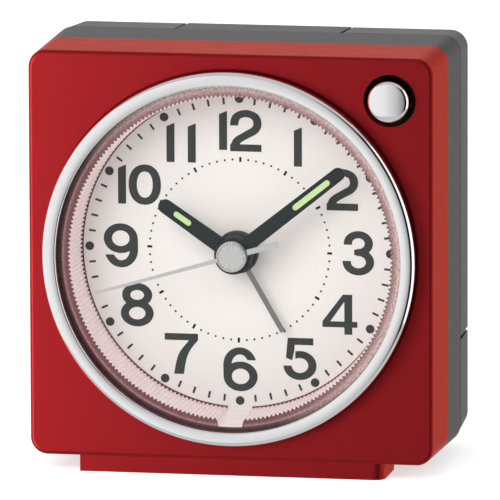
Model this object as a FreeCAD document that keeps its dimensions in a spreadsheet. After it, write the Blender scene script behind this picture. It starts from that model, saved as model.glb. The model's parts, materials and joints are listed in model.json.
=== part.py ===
import FreeCAD, Part
import math
import os
import re

import Sketcher
from FreeCAD import Placement, Rotation, Vector

# A travel alarm clock with a square case, in millimetres.
# Row frame: +X to the right of the dial, +Y to the rear, +Z up, origin on the table under the middle.
# Every piece is drawn from the middle of the case's face: x to the right, y as the depth behind the
# face, z up from the hands' axis. Its Placement then carries it into the row frame.

DIMENSIONS = {
    # case; both front shells share one draft, and flare is its growth from the face to the seam
    "case_width": 78.2, "case_corner": 3.3, "edge_round": 0.75, "wall": 2, "front_wall": 2.2,
    "front_depth": 15.8, "mid_depth": 13, "rear_depth": 12.7, "flare": 0.45, "rear_step": 0.1,
    "rear_inset": 0.55, "rear_wall": 2, "seam_gap": 0.9, "lip_length": 2, "lip_wall": 1,
    "lip_clearance": 0.1, "lip_root": 1.5, "merge": 0.5, "slack": 0.1, "running_gap": 0.05,
    "foot_height": 3.1, "foot_width": 59, "foot_setback": 0.5, "foot_length": 13.4, "foot_corner": 2,
    "rear_foot_front": 18.4, "rear_foot_length": 9.8, "tongue_width": 32, "tongue_gap": 0.5,
    "tongue_drop": 0.2, "slot_floor": 36.6, "door_top": -19.8, "door_gap": 0.8, "tab_length": 3.2,
    "tab_near": 29.5, "tab_far": 34.5, "tab_sheet": 1, "tab_root": 2, "shelf_sheet": 1.2,
    "cover_inside": 36.3, "cover_sill": 2.6, "cover_ceiling": 35.2, "door_floor": 36.7, "grip_half": 9,
    "grip_width": 0.7, "grip_deep": 0.6, "gasket_inset": 0.15, "gasket_width": 1.6, "gasket_play": 0.03,
    # face opening, ring, lens, dial
    "ring_crown": 3.2, "ring_outer": 36.05, "ring_inner": 33.4, "ring_seat": 36.4, "ring_floor": 1.3,
    "ring_lip": 0.85, "ring_lean": 0.5, "ring_foot": 1.2, "ring_round": 0.9, "well_radius": 34.5,
    "well_wall": 1.5, "well_depth": 9.4, "notch_half": 2.6, "notch_front": 5, "lens_radius": 34.3,
    "lens_front": -0.8, "lens_sheet": 1.2, "skirt_inner": 31.1, "dial_radius": 35.6, "dial_depth": 9.56,
    "dial_sheet": 0.6, "dial_hole": 2.3, "lamp_depth": 7.2, "lamp_foot": -36.9, "lamp_flange": 1.4,
    "lamp_sheet": 0.5, "lamp_radius": 1.1, "lamp_height": 2.2,
    # snooze button
    "button_x": 30.8, "button_z": 30.95, "button_hole": 5.03, "button_radius": 4.4, "button_rise": 2.4,
    "button_round": 1.1, "button_flange": 5.8, "flange_sheet": 0.8, "stem_radius": 1.5, "stem_end": 8.85,
    "button_coil": 3.6, "switch_board_depth": 12, "board_left": 24.6, "board_low": 22.9,
    "board_corner": 36.8, "spindle_play": 0.06, "screw_play": 0.3, "head_play": 0.02, "switch_half": 2,
    "switch_front": 9.8, "plunger_front": 8.9, "plunger_radius": 1, "plunger_length": 1.3,
    "plunger_well": 1.5,
    # screws and their posts
    "post_x": 33.4, "post_top_z": 20, "post_low_z": -24, "post_radius": 2.4, "post_end": 25, "stud_x": 18,
    "stud_z": 34, "stud_radius": 1.9, "post_pilot": 1, "stud_pilot": 0.7, "post_bore": 8, "stud_bore": 6,
    "screw_tube": 3.3, "screw_well": 2.5, "screw_hole": 1.45, "case_head": 2.2, "case_head_height": 1.4,
    "slot_half": 0.25, "slot_reach": 1.5, "slot_deep": 0.7, "small_head": 1.5, "head_height": 0.95,
    "case_screw": 1, "case_screw_length": 7, "bridge_bore": 5, "board_screw": 6, "bridge_screw": 0.6,
    "bridge_head": 1.4,
    # movement plates, by depth
    "plate_front": 10.3, "plate_sheet": 1, "bridge_front": 15, "bridge_sheet": 0.5, "plate_rear": 24,
    "plate_half": 22, "plate_reach": 36, "pillar_x": 19, "pillar_low": 11.5, "pillar_high": 22.5,
    "shoulder_radius": 2.2, "pillar_radius": 1.6, "bridge_half": 21, "bridge_low": 13.5,
    "bridge_high": 24.5, "rear_low": 14, "rear_high": 25,
    # gear train
    "rotor_module": 0.2, "seconds_module": 0.27, "third_module": 0.18, "minute_module": 0.25,
    "hour_module": 0.28, "alarm_module": 0.3, "pivot_radius": 0.3, "tail_pivot": 0.35,
    "second_spindle": 0.4, "cannon_radius": 0.9, "hour_pipe": 1.45, "alarm_pipe": 2, "time_spindle": 0.5,
    "alarm_spindle": 0.7, "spindle_end": 40.5,
    # motor, by depth and by height above the hands' axis
    "stator_front": 21.4, "stator_sheet": 1, "stator_half": 12, "stator_low": 8.6, "stator_high": 21.4,
    "window_half": 8.2, "window_low": 15.8, "rotor_hole": 3.3, "core_front": 20.4, "core_rear": 21.35,
    "core_low": 19, "core_high": 21, "coil_half": 7.8, "coil_wall": 0.5, "coil_gap": 0.05,
    "cheek_radius": 2.6, "winding_radius": 2.4,
    # hands, by depth
    "second_reach": 27.9, "second_tail": 9.5, "minute_reach": 26.8, "hour_reach": 17.4,
    "alarm_reach": 17.4, "hub_radius": 3.45, "alarm_hub": 2.9, "second_hub": 1.5, "second_depth": 3.6,
    "minute_depth": 4.2, "hour_depth": 5.7, "alarm_depth": 8, "second_half": 0.35, "minute_half": 1.3,
    "hour_half": 1.35, "alarm_half": 0.5, "blade_sheet": 0.35, "thin_sheet": 0.2, "alarm_sheet": 0.25,
    "hand_play": 0.01, "boss_wall": 0.75, "cap_radius": 2.6, "cap_front": 2.6, "cap_height": 0.95,
    "cap_round": 0.25,
    # knobs at the back
    "knob_radius": 5.6, "knob_cup": 6.5, "cup_wall": 1, "cup_floor": 37, "cup_sheet": 1.2,
    "knob_clearance": 0.2, "knob_recess": 0.4, "notch_ring": 5.9, "notch_radius": 0.8,
    # circuit board, sounder and alarm switch
    "board_front": 28, "board_sheet": 1.2, "board_west": 29, "board_east": 20, "board_south": 5,
    "board_north": 33.5, "board_post": 2, "board_pilot": 6.7, "chip_z": 12, "chip_radius": 3,
    "chip_front": 1.8, "can_radius": 1, "can_length": 6, "can_x": 6, "can_z": 15, "buzzer_z": 24,
    "buzzer_radius": 9, "buzzer_front": 33, "buzzer_rear": 38.9, "buzzer_port": 2, "port_depth": 1.9,
    "buzzer_wall": 1.1, "wall_length": 4, "sound_hole": 0.7, "slider_x": -26, "slider_z": 24,
    "slider_travel": 4, "slider_half": 1.6, "stem_half": 1, "stem_height": 0.7, "track_half": 1.2,
    "track_height": 0.9, "cap_half": 2.6, "flange_half": 2, "recess_half": 3.2,
    "recess_height": 2, "recess_depth": 1.1,
    "ridge_half": 0.3, "ridge_height": 0.3, "body_half": 3, "body_length": 10, "body_depth": 4,
    "groove_depth": 2.2,
    # battery
    "cell_radius": 7.25, "cell_length": 49.2, "cell_depth": 31.5, "cell_z": -28.9, "nub_radius": 2.75,
    "nub_length": 1.3, "bay_half": 27.3, "bay_wall": 1.2, "bay_front": 22.5, "bay_floor": 36.5,
    "tail_slot": 0.7, "tail_height": 1.3, "contact_half": 5, "contact_tail": 1, "contact_near": 26.5,
    "contact_far": 36.5, "tail_front": 21, "plus_gap": 0.1, "plus_sheet": 0.35, "minus_sheet": 0.3,
    "cell_gap": 1.8, "bay_coil": 3.6,
}

doc = FreeCAD.newDocument("travel_alarm_clock")
sheet = doc.addObject("Spreadsheet::Sheet", "sizes")
for row, (alias, value) in enumerate(DIMENSIONS.items(), start=1):
    sheet.set(f"A{row}", alias)
    sheet.set(f"B{row}", str(value))
    sheet.setAlias(f"B{row}", alias)
doc.recompute()

PIECES = []


# ---------------------------------------------------------------- expressions

def formula(text):
    """Spreadsheet expression for a size written with the sheet's aliases."""
    def cell(word):
        return "sizes." + word[0] if word[0] in DIMENSIONS else word[0]
    return re.sub("[a-z][a-z_]*", cell, str(text))


def size(text):
    """Value of a size, read from the sheet."""
    return float(sheet.evalExpression(formula(text)))


def bind(thing, name, text):
    thing.setExpression(name, formula(text))


def keep(thing, node):
    """Names a finished piece and moves it from the face's middle into the row frame."""
    if thing.TypeId in ("Part::Box", "Part::Cylinder", "Part::Cone"):
        thing = group(thing)
    thing.Label = node
    bind(thing, "Placement.Base.y", "(ring_crown - front_depth - mid_depth - rear_depth) / 2")
    bind(thing, "Placement.Base.z", "foot_height + case_width / 2")
    PIECES.append(thing)
    return thing


# ---------------------------------------------------------------- sketched bodies

def new_body(name):
    return doc.addObject("PartDesign::Body", name + "_body")


def new_sketch(body, role, depth="0"):
    """Sketch on one of the body's own planes; on XZ it lies at the given depth behind the face."""
    sketch = body.newObject("Sketcher::SketchObject", body.Name + "_sketch")
    plane = next(item for item in body.Origin.OriginFeatures if item.Role == role)
    sketch.AttachmentSupport = (plane, [""])
    sketch.MapMode = "FlatFace"
    if role == "XZ_Plane":
        bind(sketch, "AttachmentOffset.Base.z", f"-1 * ({depth})")
    return sketch


def constrain(sketch, kind, text, *where):
    """Adds a driving constraint whose value follows the sheet."""
    index = sketch.addConstraint(Sketcher.Constraint(kind, *where, size(text)))
    sketch.renameConstraint(index, f"size_{index}")
    bind(sketch, f"Constraints.size_{index}", text)


def polygon(*corners):
    """Closed outline through corners given as pairs of sizes."""
    def draw(sketch):
        points = [Vector(size(x), size(y), 0) for x, y in corners]
        lines = [sketch.addGeometry(Part.LineSegment(point, points[(i + 1) % len(points)]), False)
                 for i, point in enumerate(points)]
        for i, line in enumerate(lines):
            follower = lines[(i + 1) % len(lines)]
            sketch.addConstraint(Sketcher.Constraint("Coincident", line, 2, follower, 1))
        for line, (x, y) in zip(lines, corners):
            constrain(sketch, "DistanceX", x, -1, 1, line, 1)
            constrain(sketch, "DistanceY", y, -1, 1, line, 1)
    return draw


def rectangle(left, low, right, high):
    return polygon((left, low), (right, low), (right, high), (left, high))


def circle(x, y, radius):
    def draw(sketch):
        shape = Part.Circle(Vector(size(x), size(y), 0), Vector(0, 0, 1), size(radius))
        ring = sketch.addGeometry(shape, False)
        constrain(sketch, "DistanceX", x, -1, 1, ring, 3)
        constrain(sketch, "DistanceY", y, -1, 1, ring, 3)
        constrain(sketch, "Radius", radius, ring)
    return draw


def drawn(body, depth, outlines):
    sketch = new_sketch(body, "XZ_Plane", depth)
    for outline in outlines:
        outline(sketch)
    return sketch


def pad(body, start, stop, *outlines, taper="0"):
    """Adds material from depth start back to depth stop."""
    feature = body.newObject("PartDesign::Pad", body.Name + "_pad")
    feature.Profile = drawn(body, start, outlines)
    feature.Reversed = True
    bind(feature, "Length", f"({stop}) - ({start})")
    if taper != "0":
        bind(feature, "TaperAngle", taper)
    doc.recompute()
    return feature


def pocket(body, start, stop, *outlines):
    """Removes material from depth start back to depth stop."""
    before = body.Shape.Volume
    feature = body.newObject("PartDesign::Pocket", body.Name + "_pocket")
    feature.Profile = drawn(body, start, outlines)
    bind(feature, "Length", f"({stop}) - ({start})")
    doc.recompute()
    if body.Shape.Volume > before - 1e-6:
        raise ValueError(f"a pocket in {body.Name} cuts nothing")
    return feature


def pad_across(body, width, *corners):
    """Adds material of the given width, centred on x = 0, over an outline of (depth, z) corners."""
    sketch = new_sketch(body, "YZ_Plane")
    polygon(*corners)(sketch)
    feature = body.newObject("PartDesign::Pad", body.Name + "_pad")
    feature.Profile = sketch
    feature.SideType = "Symmetric"
    bind(feature, "Length", width)
    doc.recompute()
    return feature


def revolve(body, *corners):
    """Solid of revolution about the hands' axis; corners are (radius, depth)."""
    sketch = new_sketch(body, "XY_Plane")
    polygon(*corners)(sketch)
    feature = body.newObject("PartDesign::Revolution", body.Name + "_revolution")
    feature.Profile = sketch
    feature.ReferenceAxis = (sketch, ["V_Axis"])
    feature.Angle = 360
    doc.recompute()
    return feature


def round_edges(body, radius, wanted):
    """Rounds the edges of the body's present shape that the test picks."""
    base = body.Tip
    names = [f"Edge{i}" for i, edge in enumerate(base.Shape.Edges, start=1) if wanted(edge)]
    feature = body.newObject("PartDesign::Fillet", body.Name + "_fillet")
    feature.Base = (base, names)
    bind(feature, "Radius", radius)
    doc.recompute()
    return feature


def ends(edge):
    return [vertex.Point for vertex in edge.Vertexes]


def at_depth(depth):
    return lambda edge: all(abs(point.y - size(depth)) < 1e-4 for point in ends(edge))


def outer_corners(edge):
    """Edges that run front to back at the four outer corners of the case."""
    reach = size("case_width / 2 - rear_inset") - 0.01
    points = ends(edge)
    return (len(points) == 2 and abs(points[0].y - points[1].y) > size("seam_gap / 2")
            and all(min(abs(point.x), abs(point.z)) > reach for point in points))


# ---------------------------------------------------------------- primitives and booleans

def box(left, right, near, far, low, high):
    """Box between two x, two depths and two z, each a size."""
    thing = doc.addObject("Part::Box", "block")
    bind(thing, "Length", f"({right}) - ({left})")
    bind(thing, "Width", f"({far}) - ({near})")
    bind(thing, "Height", f"({high}) - ({low})")
    for name, text in zip("xyz", (left, near, low)):
        bind(thing, "Placement.Base." + name, text)
    return thing


TURNS = {
    "x": Rotation(Vector(0, 1, 0), 90),
    "y": Rotation(Vector(1, 0, 0), -90),
    "z": Rotation(),
}


def rod(axis, x, y, z, radius, length):
    """Cylinder that starts at (x, y, z) and runs along the named axis."""
    thing = doc.addObject("Part::Cylinder", "rod")
    thing.Placement = Placement(Vector(), TURNS[axis])
    bind(thing, "Radius", radius)
    bind(thing, "Height", length)
    for name, text in zip("xyz", (x, y, z)):
        bind(thing, "Placement.Base." + name, text)
    return thing


def shaft(x, z, near, far, radius):
    """Cylinder along the depth at (x, z), from depth near to depth far."""
    return rod("y", x, near, z, radius, f"({far}) - ({near})")


def cone(x, z, near, far, near_radius, far_radius):
    thing = doc.addObject("Part::Cone", "cone")
    thing.Placement = Placement(Vector(), TURNS["y"])
    bind(thing, "Radius1", near_radius)
    bind(thing, "Radius2", far_radius)
    bind(thing, "Height", f"({far}) - ({near})")
    for name, text in zip("xyz", (x, near, z)):
        bind(thing, "Placement.Base." + name, text)
    return thing


def join(*things):
    thing = doc.addObject("Part::MultiFuse", "joined")
    thing.Shapes = list(things)
    thing.Refine = True
    return thing


def cut(base, *tools):
    for tool in tools:
        result = doc.addObject("Part::Cut", "cut")
        result.Base = base
        result.Tool = tool
        base = result
    return base


def group(*things):
    """Several equal loose pieces kept as one node."""
    thing = doc.addObject("Part::Compound", "set")
    thing.Links = list(things)
    return thing


def formed(shape, node):
    """A shape that only a formula can make, such as a toothed wheel or a spring."""
    thing = doc.addObject("Part::Feature", node + "_shape")
    thing.Shape = Part.makeCompound([shape])
    return keep(thing, node)


# ---------------------------------------------------------------- case

HALF = "case_width / 2"
INNER = "(case_width / 2 - wall)"
MID_END = "front_depth + mid_depth"
CASE_END = "front_depth + mid_depth + rear_depth"
REAR_START = "front_depth + mid_depth + seam_gap"
REAR_WALL = f"{CASE_END} - rear_wall"
PARTING_HALF = "(case_width / 2 + flare * front_depth / (front_depth + mid_depth))"
SEAM_HALF = "(case_width / 2 + flare)"
REAR_HALF = "(case_width / 2 + flare - rear_step)"
REAR_END_HALF = "(case_width / 2 + flare - rear_step - rear_inset)"
DRAFT = "atan(flare / (front_depth + mid_depth))"
SHELF = "post_end + slack"
SHELF_TOP = "door_top + slack + shelf_sheet"
BAY_TOP = "door_top + slack"
POSTS = [(side + "post_x", height) for height in ("post_top_z", "post_low_z") for side in ("", "-1 * ")]
STUDS = [(side + "stud_x", level + "stud_z") for side in ("", "-1 * ") for level in ("", "-1 * ")]
FOOT = (f"-1 * {HALF} - foot_height", f"-1 * {HALF} + wall / 2")


def square(half):
    return rectangle(f"-1 * {half}", f"-1 * {half}", half, half)


def circles(places, radius):
    return [circle(x, z, radius) for x, z in places]


def foot_corner(edge):
    points = ends(edge)
    return (abs(points[0].z - points[-1].z) > size("foot_height - flare") and points[0].z < -size(HALF) + 0.01
            and all(abs(abs(point.x) - size("foot_width / 2")) < 1e-4 for point in points))


def make_front_case():
    """Painted front shell with the face opening, the well for the dial and the front foot."""
    case = new_body("front_case")
    pad(case, "0", "front_depth", square(f"({HALF})"), taper=DRAFT)
    round_edges(case, "case_corner", outer_corners)
    round_edges(case, "edge_round", at_depth("0"))
    pocket(case, "front_wall", "front_depth", square(INNER))
    pad(case, "foot_setback", "foot_setback + foot_length",
        rectangle("-1 * foot_width / 2", FOOT[0], "foot_width / 2", FOOT[1]))
    round_edges(case, "foot_corner", foot_corner)
    pad(case, "front_wall - merge", "well_depth", circle("0", "0", "well_radius + well_wall"))
    pocket(case, "0", "ring_floor", circle("0", "0", "ring_seat"))
    pocket(case, "0", "well_depth", circle("0", "0", "well_radius"))
    pocket(case, "notch_front", "well_depth",
           rectangle("-1 * notch_half", "-1 * (well_radius + well_wall + merge)",
                     "notch_half", "-1 * (well_radius - merge)"))
    pocket(case, "0", "front_wall", circle("button_x", "button_z", "button_hole"))
    pad(case, "front_wall - merge", "post_end", *circles(POSTS, "post_radius"))
    pad(case, "front_wall - merge", "plate_front - running_gap", *circles(STUDS, "stud_radius"))
    pocket(case, "post_end - post_bore", "post_end", *circles(POSTS, "post_pilot"))
    pocket(case, "plate_front - stud_bore", "plate_front", *circles(STUDS, "stud_pilot"))
    keep(case, "front_case")


def make_mid_case():
    """Middle shell: locating lip, tongue along the top, battery bay and rear foot."""
    case = new_body("mid_case")
    lip = f"({INNER} - lip_clearance)"
    pad(case, "front_depth", MID_END, square(PARTING_HALF), taper=DRAFT)
    round_edges(case, "case_corner", outer_corners)
    pad(case, "front_depth - lip_length", "front_depth", square(lip))
    pocket(case, "front_depth - lip_length", "front_depth + lip_root", square(f"({lip} - lip_wall)"))
    pocket(case, "front_depth + lip_root", MID_END, square(INNER))
    tongue_low = f"{INNER} - tongue_drop"
    pad_across(case, "tongue_width", (MID_END, tongue_low), (CASE_END, tongue_low),
               (CASE_END, REAR_END_HALF), (MID_END, SEAM_HALF))
    pad(case, "rear_foot_front", "rear_foot_front + rear_foot_length",
        rectangle("-1 * foot_width / 2", FOOT[0], "foot_width / 2", FOOT[1]))
    outside = "(bay_half + bay_wall)"
    bay_back = "bay_front + bay_wall"
    pad(case, "bay_front", f"{REAR_WALL} - merge", rectangle(f"-1 * {INNER}", BAY_TOP, INNER, SHELF_TOP))
    pad(case, "bay_front", bay_back, rectangle(f"-1 * {outside}", f"-1 * {INNER}", outside, BAY_TOP))
    pad(case, bay_back, f"{REAR_WALL} - merge",
        rectangle("bay_half", "-1 * bay_floor", outside, BAY_TOP),
        rectangle(f"-1 * {outside}", "-1 * bay_floor", "-1 * bay_half", BAY_TOP))
    pad(case, SHELF, f"{SHELF} + shelf_sheet",
        rectangle(outside, f"-1 * {INNER}", INNER, BAY_TOP),
        rectangle(f"-1 * {INNER}", f"-1 * {INNER}", f"-1 * {outside}", BAY_TOP))
    pocket(case, SHELF, f"{SHELF} + shelf_sheet", *circles(POSTS[2:], "screw_hole"))
    pocket(case, "bay_front", bay_back,
           rectangle("bay_half - tail_slot", "cell_z - tail_height", "bay_half", "cell_z + tail_height"),
           rectangle("-1 * bay_half", "cell_z - tail_height", "-1 * bay_half + tail_slot",
                     "cell_z + tail_height"))
    keep(case, "mid_case")


def rear_block(body):
    """The tapered block that the back cover and the battery door are both cut from."""
    pad(body, REAR_START, CASE_END, square(REAR_HALF),
        taper="-1 * atan(rear_inset / (rear_depth - seam_gap))")
    round_edges(body, "case_corner", outer_corners)
    round_edges(body, "edge_round", at_depth(CASE_END))


def keep_above(body, level):
    """Cuts away the whole block below a height."""
    pocket(body, REAR_START, CASE_END, rectangle("-1 * case_width", "-1 * case_width", "case_width", level))


SOUND_RINGS = ((0, 1), (2.8, 6), (5.6, 12))
SOUND_HOLES = [(f"{radius * math.cos(turn):.3f}", f"buzzer_z + {radius * math.sin(turn):.3f}")
               for radius, count in SOUND_RINGS for turn in (math.tau * i / count for i in range(count))]
KNOB_SHAFTS = [("-28 * minute_module", "0"), ("30 * alarm_module", "0")]
BOARD_POSTS = [("-18", "31"), ("16", "31"), ("17", "10")]
GRIP_LINES = (-30, -28.4, -26.8, -25.2)


def make_back_cover():
    """Upper rear shell with knob cups, screw wells, sound holes and the alarm switch slot."""
    cover = new_body("back_cover")
    inside = f"{REAR_WALL} + merge"
    slot = "(tongue_width / 2 + tongue_gap)"
    rear_block(cover)
    keep_above(cover, "door_top + door_gap")
    pocket(cover, REAR_START, REAR_WALL,
           rectangle(f"-1 * {INNER} - slack", "door_top", f"{INNER} + slack", f"{SHELF_TOP} + slack"))
    pocket(cover, REAR_START, REAR_WALL,
           rectangle("-1 * cover_inside", "door_top + cover_sill", "cover_inside", "cover_ceiling"))
    pocket(cover, REAR_START, CASE_END, rectangle(f"-1 * {slot}", "slot_floor", slot, "case_width"))
    pad(cover, "cup_floor", inside, *circles(KNOB_SHAFTS, "knob_cup + cup_wall"))
    pad(cover, SHELF, inside, *circles(POSTS[:2], "screw_tube"))
    pad(cover, "board_front + board_sheet + slack", inside, *circles(BOARD_POSTS, "board_post"))
    pad(cover, f"{REAR_WALL} - wall_length", inside,
        circle("0", "buzzer_z", "buzzer_radius + slack + buzzer_wall"),
        circle("0", "buzzer_z", "buzzer_radius + slack"))
    pocket(cover, "cup_floor + cup_sheet", CASE_END, *circles(KNOB_SHAFTS, "knob_cup"))
    pocket(cover, "cup_floor", "cup_floor + cup_sheet",
           *circles(KNOB_SHAFTS, "alarm_spindle + knob_clearance"))
    pocket(cover, f"{SHELF} + shelf_sheet", CASE_END, *circles(POSTS[:2], "screw_well"))
    pocket(cover, SHELF, f"{SHELF} + shelf_sheet", *circles(POSTS[:2], "screw_hole"))
    pocket(cover, "board_front + board_sheet + slack", "board_front + board_sheet + board_pilot",
           *circles(BOARD_POSTS, "stud_pilot"))
    pocket(cover, REAR_WALL, CASE_END, *circles(SOUND_HOLES, "sound_hole"))
    for start, half, height in ((f"{CASE_END} - recess_depth", "recess_half", "recess_height"),
                                (REAR_WALL, "track_half", "track_height")):
        pocket(cover, start, CASE_END,
               rectangle(f"slider_x - {half}", f"slider_z - {height}",
                         f"slider_x + {half} + slider_travel", f"slider_z + {height}"))
    keep(cover, "back_cover")


def make_battery_door():
    """Lower rear shell that slides off rearwards, with two tabs under the middle shell."""
    door = new_body("battery_door")
    tab_low = f"-1 * {INNER} + slack"
    tab_high = f"-1 * {INNER} + slack + tab_sheet"
    rear_block(door)
    pocket(door, REAR_START, CASE_END, rectangle("-1 * case_width", "door_top", "case_width", "case_width"))
    pocket(door, REAR_START, REAR_WALL,
           rectangle("-1 * cover_inside", "-1 * door_floor", "cover_inside", "door_top"))
    pad(door, f"{REAR_START} - tab_length", f"{REAR_START} + tab_root",
        rectangle("tab_near", tab_low, "tab_far", tab_high),
        rectangle("-1 * tab_far", tab_low, "-1 * tab_near", tab_high))
    pocket(door, f"{CASE_END} - grip_deep", CASE_END,
           *[rectangle("-1 * grip_half", f"{z}", "grip_half", f"{z} + grip_width") for z in GRIP_LINES])
    keep(door, "battery_door")


def make_seam_gasket():
    """Black gasket in the seam behind the middle shell, with an arm above each side of the door."""
    gasket = new_body("seam_gasket")
    outer = f"({REAR_HALF} - gasket_inset)"
    inner = f"({REAR_HALF} - gasket_inset - gasket_width)"
    slot = "(tongue_width / 2 + slack)"
    start = f"{MID_END} + gasket_play"
    seam_end = f"{REAR_START} - gasket_play"
    pad(gasket, start, seam_end, square(outer))
    round_edges(gasket, "case_corner", outer_corners)
    pocket(gasket, start, seam_end, square(inner))
    pocket(gasket, start, seam_end, rectangle(f"-1 * {slot}", "0", slot, "case_width"))
    arm_low = "door_top + gasket_play"
    arm_high = "door_top + door_gap - gasket_play"
    arm_out = f"({REAR_END_HALF} - gasket_inset)"
    arm_in = f"({INNER} + gasket_inset + slack)"
    pad(gasket, start, f"{CASE_END} - rear_wall",
        rectangle(arm_in, arm_low, arm_out, arm_high),
        rectangle(f"-1 * {arm_out}", arm_low, f"-1 * {arm_in}", arm_high))
    keep(gasket, "seam_gasket")


# ---------------------------------------------------------------- ring, lens, dial, button

def make_bezel_ring():
    """Chromed ring round the dial: an almost upright flank, a round crown and a steep inner wall."""
    ring = new_body("bezel_ring")
    foot = "ring_floor - running_gap"
    revolve(ring, ("ring_inner - ring_lean", "-1 * ring_lip"), ("ring_inner", "-1 * ring_crown"),
            ("ring_outer - 0.1", "-1 * ring_crown"), ("ring_outer", "0"), ("ring_outer", foot),
            ("ring_inner + ring_foot", foot), ("ring_inner + ring_foot", "-1 * ring_lip"))

    def crown_edge(edge):
        point = ends(edge)[0]
        return (abs(point.y + size("ring_crown")) < 1e-4
                and math.hypot(point.x, point.z) > size("ring_outer - 1"))

    round_edges(ring, "ring_round", crown_edge)
    keep(ring, "bezel_ring")


def make_lens():
    """Clear window with a deep skirt that spaces it from the dial."""
    lens = new_body("lens")
    inside = "lens_front + lens_sheet"
    revolve(lens, ("0", "lens_front"), ("lens_radius", "lens_front"),
            ("lens_radius", "dial_depth - running_gap"), ("skirt_inner", "dial_depth - running_gap"),
            ("skirt_inner", inside), ("0", inside))
    keep(lens, "lens")


def make_dial():
    dial = new_body("dial")
    pad(dial, "dial_depth", "dial_depth + dial_sheet", circle("0", "0", "dial_radius"))
    pocket(dial, "dial_depth", "dial_depth + dial_sheet", circle("0", "0", "dial_hole"))
    keep(dial, "dial")


def make_snooze_button():
    """Domed button: cap through the face, retaining flange behind it and a stem to the switch."""
    button = new_body("snooze_button")
    spot = ("button_x", "button_z")
    pad(button, "-1 * button_rise", "front_wall + slack", circle(*spot, "button_radius"))
    round_edges(button, "button_round", at_depth("-1 * button_rise"))
    flange_back = "front_wall + slack + flange_sheet"
    pad(button, "front_wall + running_gap", flange_back, circle(*spot, "button_flange"))
    pad(button, flange_back, "stem_end", circle(*spot, "stem_radius"))
    keep(button, "snooze_button")


STEPS_PER_TURN = 12


def wire_along(radius, points):
    """Round wire of the given radius along a smooth path through the points."""
    path = Part.BSplineCurve()
    path.interpolate(points)
    edge = path.toShape()
    start = edge.FirstParameter
    profile = Part.Wire(Part.makeCircle(radius, edge.valueAt(start), edge.tangentAt(start)))
    return Part.Wire(edge).makePipeShell([profile], True, True)


def coil(radius, wire, start, length, turns):
    """Wire of the given radius wound along +Z, its first turn's middle at height start."""
    steps = STEPS_PER_TURN * turns
    points = []
    for step in range(steps + 1):
        angle = 2 * math.pi * step / STEPS_PER_TURN
        points.append(Vector(radius * math.cos(angle), radius * math.sin(angle),
                             start + length * step / steps))
    return wire_along(wire, points)


COIL_PLAY = 0.02


def make_button_spring():
    wire = 0.25
    play = wire + COIL_PLAY
    front = size("front_wall + slack + flange_sheet")
    seat = size("switch_board_depth")
    spring = coil(size("button_coil"), wire, front + play, seat - front - 2 * play, 5)
    spring.rotate(Vector(), Vector(1, 0, 0), -90)
    spring.translate(Vector(size("button_x"), 0, size("button_z")))
    formed(spring, "button_spring")


def make_snooze_switch():
    """Small push switch on its own board behind the button, with a separate plunger."""
    board = box("board_left", "board_corner", "switch_board_depth", "switch_board_depth + plate_sheet",
                "board_low", "board_corner")
    notch = shaft("post_x", "post_top_z", "switch_board_depth - merge",
                  "switch_board_depth + plate_sheet + merge", "post_radius + merge + slack")
    keep(cut(board, notch), "switch_board")
    body = box("button_x - switch_half", "button_x + switch_half", "switch_front",
               "switch_board_depth - head_play", "button_z - switch_half", "button_z + switch_half")
    well = shaft("button_x", "button_z", "switch_front", "switch_front + plunger_well",
                 "plunger_radius + running_gap")
    keep(cut(body, well), "switch_body")
    keep(shaft("button_x", "button_z", "plunger_front", "plunger_front + plunger_length", "plunger_radius"),
         "switch_plunger")


# ---------------------------------------------------------------- toothed wheels

PRESSURE_ANGLE = math.radians(25)
BACKLASH = 0.05
SHIFT = 0.3


def involute(angle):
    return math.tan(angle) - angle


def tooth_outline(teeth, module, shift, phase):
    """Closed outline of an involute wheel; phase is the clockwise angle of one tooth's middle."""
    pitch = teeth * module / 2
    base = pitch * math.cos(PRESSURE_ANGLE)
    tip = pitch + module * (1 if shift > 0 else 1 + shift)
    root = pitch - module * (1.25 - shift)
    half_at_pitch = (math.pi / 2 + 2 * shift * math.tan(PRESSURE_ANGLE)) / teeth - BACKLASH / 4 / pitch

    def half_width(radius):
        lean = involute(math.acos(min(1, base / radius)))
        return half_at_pitch + involute(PRESSURE_ANGLE) - lean

    start = max(base, root)
    flank = [start + (tip - start) * i / 3 for i in range(4)]
    if root < base:
        flank.insert(0, root)
    side = [(radius, half_width(radius)) for radius in flank]
    tooth = [(radius, -half) for radius, half in side] + [(radius, half) for radius, half in side[::-1]]
    points = []
    for i in range(teeth):
        middle = phase + math.tau * i / teeth
        points += [Vector(radius * math.sin(middle + turn), 0, radius * math.cos(middle + turn))
                   for radius, turn in tooth]
    return Part.Face(Part.makePolygon(points + points[:1]))


def wheel(teeth, module, shift, phase, x, z, near, far):
    """Toothed wheel centred on (x, z), from depth near to depth far."""
    blank = tooth_outline(teeth, module, shift, phase).extrude(Vector(0, far - near, 0))
    blank.translate(Vector(x, near, z))
    return blank


def mesh_phase(teeth, phase, other_teeth, heading):
    """Phase that puts a second wheel in mesh, when heading points from the first to the second."""
    return heading + math.pi + (teeth * (heading - phase) - math.pi) / other_teeth


def pin(x, z, near, far, radius):
    return Part.makeCylinder(radius, far - near, Vector(x, near, z), Vector(0, 1, 0))


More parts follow.
